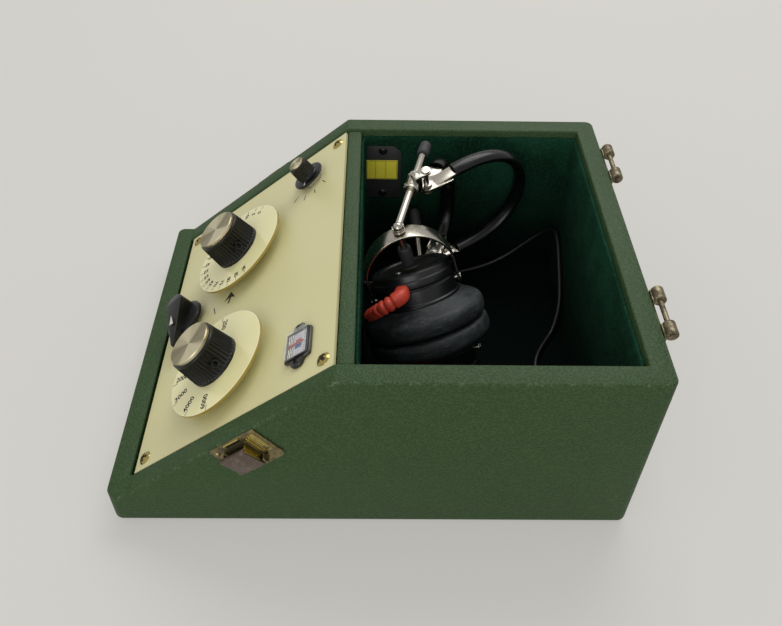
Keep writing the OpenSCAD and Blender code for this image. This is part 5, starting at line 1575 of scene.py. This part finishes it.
def make_bands():
    """The two headband springs: steel strips riveted to their wings, in black sleeves."""
    outline = [(15.0, -4.5), (15.0, 4.5), (12.6, 5.0), (3.0, 4.6)] + arc((0, 0), WING_END_R, 80, 200, 8)
    outline += [(3.0, -4.6), (12.6, -5.0)]
    for i, (word, body) in enumerate((("front", "headband"), ("rear", "band_rear"))):
        sleeve = Form().add(*hollow_sweep(*band_path(i, SLEEVE_FROM), oval(4.5, 2.9, 28), oval(3.6, 2.0, 28)))
        sleeve = point_outwards(sleeve.piece("band_sleeve_" + word, "sleeve_vinyl", 70))
        dress(sleeve, body, "band_dark", "headband_" + word)
        points, normals = band_path(i, STRIP_FROM)
        strip = Form().add(*sweep(points, flat_section(3.6, BAND_T / 2), normals))
        frames = []
        for end in (-1, 1):
            at = HUB_MID + BAND_AXIS * end * (BAND_HALF - WING_AT[i])
            wing = along(at, BAND_AXIS * -end, band_out(i))
            back = along(at, BAND_AXIS * end, band_out(i))
            strip.add(*prism(outline, 0.0, WING_T, 0.3, 2), wing)
            for y in (-5.0, 4.0):
                strip.add(*block((4.5, y, -0.1), (13.6, y + 1.0, 2.3), 0.35, 2), wing)
            frames += [wing @ shift(x, 0, WING_T + BAND_T) for x in WING_RIVETS]
            frames += [back @ shift(x) for x in WING_RIVETS]
        strip = point_outwards(strip.piece("band_strip_" + word, "plated_steel", 40))
        dress(strip, body, "nickel", "headband_" + word)
        rivets = repeated("band_rivets_" + word, plain_dome(1.2, 0.5), frames, "plated_steel")
        dress(rivets, body, "nickel")


def make_clamps():
    """The clamps that ride on the rods: a split barrel, two cheeks, and the pin for the wings."""
    form = Form()
    cheek = [(-CLAMP_SIDE + 1.5, -2.8), (-CLAMP_SIDE + 1.5, 2.8)] + arc((0, 0), 3.0, 90, -180, 8)
    barrel = turned([(2.3, -7), (4.1, -7), (4.1, -5.2), (3.6, -4.8), (3.6, 4.8), (4.1, 5.2), (4.1, 7),
                     (2.3, 7)], 0.3, 40)
    top = CLAMP_FACE + WING_AT[1] + WING_T
    pin = turned([(0, -0.7), (2.6, -0.7), (2.6, 0.1), (1.6, 0.3), (1.6, top + 0.1), (2.3, top + 0.1),
                  (2.3, top + 0.8), (0, top + 0.9)], 0.15, 32)
    screw = plain_dome(2.2, 1.3)
    for side, inward in ((UPPER, BAND_AXIS), (LOWER, -BAND_AXIS)):
        at = clamp_point(side)
        hub = HUB_MID - inward * BAND_HALF
        form.add(*barrel, along(at, ROD_DIR[side], BAND_AXIS))
        face = along(hub - inward * CLAMP_FACE, inward, band_out(0))
        for low in (0.2, 2 * CLAMP_FACE - 1.4):
            form.add(*prism(cheek[::-1], low, low + 1.2, 0.3, 2), face)
        form.add(*block((-CLAMP_SIDE + 0.5, -2.9, 0.2), (-CLAMP_SIDE + 4.6, 2.9, 2 * CLAMP_FACE - 0.2),
                        0.5, 2), face)
        form.add(*pin, face)
        form.add(screw.points, screw.faces, along(at - (hub - at).normalized() * 4.0, at - hub))
    dress(form.piece("rod_clamps", "plated_steel", 40), "headband", "nickel", "headset_clamps")


def make_rods():
    """The rods with their knuckles and stubs, and the rubber tips on their ends."""
    rod = turned([(0, 0), (ROD_R, 0.2), (ROD_R, ROD_LEN - 3), (0, ROD_LEN - 3)], 0.3, 32)
    turns = [math.pi * k / 16 for k in range(17)]
    ball = lathe([(KNUCKLE_R * math.sin(a), KNUCKLE_AT - KNUCKLE_R * math.cos(a)) for a in turns], 32)
    pin = turned([(0, -3.2), (1.3, -3.2), (1.3, 3.2), (0, 3.2)], 0.4, 24)
    outer_tip = turned([(2.1, 0), (TIP_R - 0.5, 0), (TIP_R, 1.2), (TIP_R - 0.15, TIP_LEN * 0.7),
                        (TIP_R - 0.3, TIP_LEN), (0, TIP_LEN)], 1.1, 32)
    for side in (UPPER, LOWER):
        word, body, yoke, ahead = WORDS[side], ROD_BODY[side], yoke_frame(side), ROD_DIR[side]
        form = Form().add(*rod, along(rod_start(side), ahead))
        low = YOKE_REACH - STUB_IN[side] + 3
        stub = turned([(0, low), (1.9, low), (1.9, YOKE_REACH - 0.7), (3.6, YOKE_REACH - 0.7),
                       (3.6, YOKE_REACH - 0.1), (1.9, YOKE_REACH), (1.9, YOKE_REACH + 1.3),
                       (3.4, YOKE_REACH + 1.4), (3.4, YOKE_REACH + 2.0), (1.9, YOKE_REACH + 2.2),
                       (1.9, KNUCKLE_AT)], 0.15, 32)
        form.add(*stub, yoke)
        form.add(*ball, yoke)
        form.add(*pin, along(rod_start(side), yoke.to_3x3() @ Vector((1, 0, 0)), ahead))
        dress(form.piece("rod_and_stub_" + word, "plated_steel", 40), body, "steel", "rod_" + word)
        tips = Form().add(*outer_tip, along(rod_start(side) + ahead * (ROD_LEN - TIP_LEN), ahead))
        inner_len = min(STUB_IN[side] - 3.5, TIP_LEN)
        inner_tip = turned([(2.0, 0), (TIP_R - 0.4, 0), (TIP_R, 1.0), (TIP_R - 0.1, inner_len),
                            (0, inner_len)], 0.9, 32)
        tips.add(*inner_tip, yoke @ shift(z=YOKE_REACH - STUB_IN[side] + inner_len) @ spin(180, "X"))
        dress(tips.piece("rubber_tips_" + word, "tip_rubber", 50), body, "rubber_black", "rod_tips_" + word)


def make_yokes():
    """The yokes: bent steel strips, wide at the top, with a round foot on each pivot."""
    middle = YOKE_IN + YOKE_T / 2
    arch_z = YOKE_REACH + YOKE_T / 2 - YOKE_IN - YOKE_T
    heights = [-YOKE_FOOT_DROP + (arch_z + YOKE_FOOT_DROP) * k / 14 for k in range(14)]
    path = [Vector((middle, 0, z)) for z in heights]
    path += [Vector((x, 0, z)) for x, z in arc((0, arch_z), middle, 0, 180, 40)]
    path += [Vector((-middle, 0, z)) for z in reversed(heights)]
    sections, normals = [], []
    for k, p in enumerate(path):
        if p.z < 0:
            half_w = math.sqrt(max(0.3, YOKE_FOOT_R ** 2 - p.z ** 2))
        else:
            half_w = YOKE_FOOT_R + (YOKE_W / 2 - YOKE_FOOT_R) * min(1.0, p.z / (YOKE_REACH - 8))
        sections.append(flat_section(half_w, YOKE_T / 2, 0.3))
        tangent = (path[min(k + 1, len(path) - 1)] - path[max(k - 1, 0)]).normalized()
        normals.append(tangent.cross(Vector((0, 1, 0))).normalized())
    strip = sweep(path, sections, normals)
    for side in (UPPER, LOWER):
        made = Form().add(*strip, yoke_frame(side)).piece("yoke_strip_" + WORDS[side], "plated_steel", 50)
        dress(point_outwards(made), ROD_BODY[side], "steel", "yoke_" + WORDS[side])


BOOT_ROOT = Vector((-7, -19, 25))
BOOT_BEND = Vector((-9.5, -26.6, 24.3))
BOOT_END = Vector((-25.5, -17.5, 18))
BOOT_R = 3.75
# The part of the boot's length that is smooth, and the length of one rib as a part of it.
BOOT_SMOOTH = 0.4
BOOT_RIB = 0.1
BOOT_SIDES = 24
SOFT_SQUARE = 0.7


def boot_form(side):
    """The red moulded boot: smooth round its bend and ribbed towards the lead."""
    middle = (BOOT_BEND + BOOT_END) / 2 + Vector((-2.5, -3.5, 0))
    ahead = (BOOT_END - middle).normalized()
    path = even_path(smooth_path([BOOT_ROOT + Vector((1.0, 4.0, 0.3)), BOOT_ROOT, BOOT_BEND, middle,
                                  BOOT_END + ahead * 2.6], 10), 0.3)
    total = len(path) - 1
    sections = []
    for k in range(total + 1):
        past = k / total - BOOT_SMOOTH
        radius = BOOT_R - 0.75 * max(0.0, past) / (1 - BOOT_SMOOTH)
        if past > 0:
            radius -= 0.75 * (0.5 - 0.5 * math.cos(2 * math.pi * past / BOOT_RIB)) ** 2.2
        if k in (0, total):
            radius *= 0.75
        sections.append([tuple(radius * math.copysign(abs(v) ** SOFT_SQUARE, v) for v in point)
                         for point in oval(1, 1, BOOT_SIDES)])
    flip = Matrix.Diagonal((1, -1 if side == LOWER else 1, 1, 1))
    return Form().add(*sweep(path, sections), ear_frame(side) @ flip)


def make_ears():
    """The receivers in their stepped caps, their red boots and their soft cushions."""
    shell = turned([(0, 13.0), (22.2, 13.0), (22.2, 15.8), (21.4, 16.4), (21.4, 23.4), (20.7, 23.8),
                    (20.7, 24.6), (21.9, 25.0), (21.9, 28.8), (21.2, 29.2), (20.9, 32.2), (19.6, 33.2),
                    (15.6, 33.2), (15.2, 32.5), (6.0, 32.5), (5.4, 32.9), (0, 32.9)], 0.5, 96)
    stud = turned([(0, 0), (1.0, 0), (1.0, 2.9), (1.9, 3.1), (1.9, 3.7), (0, 3.9)], 0.2, 24)
    head = crossed_head(1.9, 0.8)
    for side in (UPPER, LOWER):
        word, body, place = WORDS[side], "ear_" + WORDS[side], ear_frame(side)
        made = Form().add(*shell, place).piece("receiver_shell_" + word, "receiver_black", 35)
        dress(made, body, "receiver_black", "receiver_" + word)
        studs = Form()
        for end in (-1, 1):
            studs.add(*stud, place @ along((end * 21.0, 0, PIVOT_H), (end, 0, 0)))
        studs.add(head.points, head.faces, place @ shift(-6.5, 12.5 * side, 33.0))
        dress(studs.piece("receiver_studs_" + word, "plated_steel", 35), body, "receiver_black")
        boot = point_outwards(boot_form(side).piece("red_boot_" + word, "boot_red", 60))
        dress(boot, body, "receiver_black", "receiver_" + word)
        make_cushion(side, word, body, place)


CUSHION_OUTLINE = [
    (10.4, 8.0), (10.0, 4.6), (10.7, 1.7), (13.0, 0.25), (18.0, 0.05), (24.0, 0.1), (29.4, 0.25),
    (31.9, 1.2), (32.8, 3.2), (33.0, 6.0), (32.6, 8.2), (31.2, 9.9), (29.0, 11.2), (26.6, 12.6),
    (24.7, 14.0), (23.9, 14.8), (23.3, 15.0), (22.4, 14.5), (14.0, 14.6), (11.2, 13.2), (10.4, 8.0),
]
CUSHION_SIDES = 112


def make_cushion(side, word, body, place):
    """A soft ring cushion: full at its rim, pinched to the receiver behind and a little uneven."""
    curve = smooth_path([(r, 0, z) for r, z in CUSHION_OUTLINE], 4)[:-1]
    count = len(curve)
    points, faces = [], []
    for a in range(CUSHION_SIDES):
        angle = 2 * math.pi * a / CUSHION_SIDES
        for p in curve:
            spot = Vector((math.cos(angle) * 1.6, math.sin(angle) * 1.6, p.z * 0.12 + side * 4))
            soft = (noise.noise(spot) * 0.35 - 0.2) * max(0.0, (p.x - 22) / 11) * min(1.0, p.z / 2.0)
            radius = min(p.x + soft, CUSHION_R)
            points.append((radius * math.cos(angle), radius * math.sin(angle), p.z))
        b = (a + 1) % CUSHION_SIDES
        for k in range(count):
            n = (k + 1) % count
            faces.append([a * count + k, b * count + k, b * count + n, a * count + n])
    made = Form().add(points, faces, place).piece("ear_cushion_" + word, "cushion_rubber_" + word, 60)
    dress(point_outwards(made), body, "cushion_rubber", "cushion_" + word)


# ---- Inside the panel ----

INNER_FINISHES = {
    "attenuator_body": "tin_plate", "frequency_switch": "switch_phenolic", "small_switches": "tin_plate",
    "circuit_board": "board_laminate", "board_spacers": "spacer_nylon",
    "output_transformer": "iron_laminations", "battery": "battery_jacket", "battery_clip": "spring_steel",
}


def make_inside():
    for node, material in INNER_FINISHES.items():
        coat(node, material)


# ---- Settings, operators and panel ----

def length(name, description, default):
    return bpy.props.FloatProperty(name=name, description=description, default=default, unit="LENGTH")


def colour(name, description, code):
    return bpy.props.FloatVectorProperty(name=name, description=description, size=4, default=rgb(code),
                                         subtype="COLOR")


class AUDIOMETER_PG_case(bpy.types.PropertyGroup):
    corner_radius: length("Corner radius", "Radius of the case's upright corners", 0.0042)
    foot_radius: length("Foot radius", "Radius of the case's lower edges", 0.004)
    edge_radius: length("Edge radius", "Radius of the covered edges", 0.0011)
    cloth: colour("Cloth", "Colour of the leathercloth", "#2d4424")
    cloth_dark: colour("Cloth, dark", "Leathercloth where it is darkest", "#23381c")
    cloth_light: colour("Cloth, light", "Tops of the cloth's grain", "#3c5530")
    cloth_worn: colour("Cloth, worn", "Cloth rubbed pale along the edges", "#7d8b69")
    felt: colour("Felt", "Colour of the felt lining", "#174230")
    felt_dark: colour("Felt, dark", "Felt brushed dark", "#0b281b")
    # Painted shade: the tone the felt takes deep in the compartment.
    felt_deep: colour("Felt, painted shade", "Felt darkened as painted shade deep in the compartment", "#020b07")
    felt_light: colour("Felt, light", "Tips of the felt's pile", "#28583f")


class AUDIOMETER_PG_panel(bpy.types.PropertyGroup):
    enamel: colour("Enamel", "Colour of the panel", "#d2cd9e")
    enamel_aged: colour("Enamel, aged", "Panel where it has yellowed", "#c9c38f")
    enamel_speck: colour("Enamel, specks", "Small marks on the panel", "#a8a27e")


class AUDIOMETER_PG_stage(bpy.types.PropertyGroup):
    floor: colour("Floor", "Colour of the floor", "#d2d0ca")
    floor_seen: colour("Floor, seen", "Tone the camera sees behind", "#cfcdc8")
    sky: bpy.props.FloatProperty(name="Sky", description="Strength of the even light", default=0.6, min=0.0)
    key: bpy.props.FloatProperty(name="Key light", description="Power of the larger lamp in watts",
                                 default=13.0)
    fill: bpy.props.FloatProperty(name="Fill light", description="Power of the smaller lamp in watts",
                                  default=9.0)


class AudiometerStep:
    """What the making steps share."""
    bl_options = {"REGISTER", "UNDO"}

    def execute(self, context):
        self.make()
        return {"FINISHED"}


class AUDIOMETER_OT_camera(AudiometerStep, bpy.types.Operator):
    """Places the camera where the photograph was taken from"""
    bl_idname = "audiometer.camera"
    bl_label = "Camera"
    make = staticmethod(make_camera)


class AUDIOMETER_OT_cords(AudiometerStep, bpy.types.Operator):
    """Lays the headset's cord, its coil and its two leads"""
    bl_idname = "audiometer.cords"
    bl_label = "Cords"
    make = staticmethod(make_cords)


class AUDIOMETER_OT_case(AudiometerStep, bpy.types.Operator):
    """Covers the case in leathercloth"""
    bl_idname = "audiometer.case"
    bl_label = "Case"
    make = staticmethod(make_case)


class AUDIOMETER_OT_felt(AudiometerStep, bpy.types.Operator):
    """Lines the rear compartment with felt"""
    bl_idname = "audiometer.felt"
    bl_label = "Felt lining"
    make = staticmethod(make_felt)


class AUDIOMETER_OT_fuzz(AudiometerStep, bpy.types.Operator):
    """Adds the loose fibres of the felt"""
    bl_idname = "audiometer.fuzz"
    bl_label = "Felt fibres"
    make = staticmethod(make_fuzz)


class AUDIOMETER_OT_panel(AudiometerStep, bpy.types.Operator):
    """Paints and prints the sloped panel"""
    bl_idname = "audiometer.panel"
    bl_label = "Panel"
    make = staticmethod(make_panel)


class AUDIOMETER_OT_dials(AudiometerStep, bpy.types.Operator):
    """Makes the two numbered dials with their knobs"""
    bl_idname = "audiometer.dials"
    bl_label = "Dials"
    make = staticmethod(make_dials)


class AUDIOMETER_OT_selector(AudiometerStep, bpy.types.Operator):
    """Makes the small selector knob"""
    bl_idname = "audiometer.selector"
    bl_label = "Selector"
    make = staticmethod(make_selector)


class AUDIOMETER_OT_pointer(AudiometerStep, bpy.types.Operator):
    """Makes the pointer knob"""
    bl_idname = "audiometer.pointer"
    bl_label = "Pointer knob"
    make = staticmethod(make_pointer)


class AUDIOMETER_OT_fastenings(AudiometerStep, bpy.types.Operator):
    """Sets the screws, rivets and studs"""
    bl_idname = "audiometer.fastenings"
    bl_label = "Fastenings"
    make = staticmethod(make_fastenings)


class AUDIOMETER_OT_meter(AudiometerStep, bpy.types.Operator):
    """Makes the edgewise meter"""
    bl_idname = "audiometer.meter"
    bl_label = "Meter"
    make = staticmethod(make_meter)


class AUDIOMETER_OT_latches(AudiometerStep, bpy.types.Operator):
    """Makes the two latches"""
    bl_idname = "audiometer.latches"
    bl_label = "Latches"
    make = staticmethod(make_latches)


class AUDIOMETER_OT_hinges(AudiometerStep, bpy.types.Operator):
    """Makes the two hinges"""
    bl_idname = "audiometer.hinges"
    bl_label = "Hinges"
    make = staticmethod(make_hinges)


class AUDIOMETER_OT_cover(AudiometerStep, bpy.types.Operator):
    """Makes the cover plate with its label"""
    bl_idname = "audiometer.cover"
    bl_label = "Cover plate"
    make = staticmethod(make_cover)


class AUDIOMETER_OT_bands(AudiometerStep, bpy.types.Operator):
    """Makes the two headband springs"""
    bl_idname = "audiometer.bands"
    bl_label = "Headbands"
    make = staticmethod(make_bands)


class AUDIOMETER_OT_clamps(AudiometerStep, bpy.types.Operator):
    """Makes the clamps on the rods"""
    bl_idname = "audiometer.clamps"
    bl_label = "Clamps"
    make = staticmethod(make_clamps)


class AUDIOMETER_OT_rods(AudiometerStep, bpy.types.Operator):
    """Makes the rods and their rubber tips"""
    bl_idname = "audiometer.rods"
    bl_label = "Rods"
    make = staticmethod(make_rods)


class AUDIOMETER_OT_yokes(AudiometerStep, bpy.types.Operator):
    """Makes the yokes"""
    bl_idname = "audiometer.yokes"
    bl_label = "Yokes"
    make = staticmethod(make_yokes)


class AUDIOMETER_OT_ears(AudiometerStep, bpy.types.Operator):
    """Makes the receivers, boots and cushions"""
    bl_idname = "audiometer.ears"
    bl_label = "Receivers and cushions"
    make = staticmethod(make_ears)


class AUDIOMETER_OT_inside(AudiometerStep, bpy.types.Operator):
    """Finishes the pieces inside the panel"""
    bl_idname = "audiometer.inside"
    bl_label = "Inside"
    make = staticmethod(make_inside)


class AUDIOMETER_OT_stage(AudiometerStep, bpy.types.Operator):
    """Sets the floor, the backdrop and the lamps"""
    bl_idname = "audiometer.stage"
    bl_label = "Stage"
    make = staticmethod(make_stage)


STEPS = (AUDIOMETER_OT_camera, AUDIOMETER_OT_cords, AUDIOMETER_OT_case, AUDIOMETER_OT_felt,
         AUDIOMETER_OT_fuzz, AUDIOMETER_OT_panel, AUDIOMETER_OT_dials, AUDIOMETER_OT_selector,
         AUDIOMETER_OT_pointer, AUDIOMETER_OT_fastenings, AUDIOMETER_OT_meter, AUDIOMETER_OT_latches,
         AUDIOMETER_OT_hinges, AUDIOMETER_OT_cover, AUDIOMETER_OT_bands, AUDIOMETER_OT_clamps,
         AUDIOMETER_OT_rods, AUDIOMETER_OT_yokes, AUDIOMETER_OT_ears, AUDIOMETER_OT_inside,
         AUDIOMETER_OT_stage)
GROUPS = {"audiometer_case": AUDIOMETER_PG_case, "audiometer_panel": AUDIOMETER_PG_panel,
          "audiometer_stage": AUDIOMETER_PG_stage}


class AUDIOMETER_PT_steps(bpy.types.Panel):
    """Lists the making steps"""
    bl_label = "Audiometer"
    bl_space_type = "VIEW_3D"
    bl_region_type = "UI"
    bl_category = "Audiometer"

    def draw(self, context):
        for name, group in GROUPS.items():
            column = self.layout.column(align=True)
            for key in group.__annotations__:
                column.prop(getattr(context.scene, name), key)
        for step in STEPS:
            self.layout.operator(step.bl_idname)


def register():
    for group in GROUPS.values():
        bpy.utils.register_class(group)
    for name, group in GROUPS.items():
        setattr(bpy.types.Scene, name, bpy.props.PointerProperty(type=group))
    for step in STEPS:
        bpy.utils.register_class(step)
    bpy.utils.register_class(AUDIOMETER_PT_steps)


def unregister():
    bpy.utils.unregister_class(AUDIOMETER_PT_steps)
    for step in reversed(STEPS):
        bpy.utils.unregister_class(step)
    for name, group in GROUPS.items():
        delattr(bpy.types.Scene, name)
        bpy.utils.unregister_class(group)


def main():
    register()
    for step in STEPS:
        category, name = step.bl_idname.split(".")
        getattr(getattr(bpy.ops, category), name)()
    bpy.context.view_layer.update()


if __name__ == "__main__":
    main()
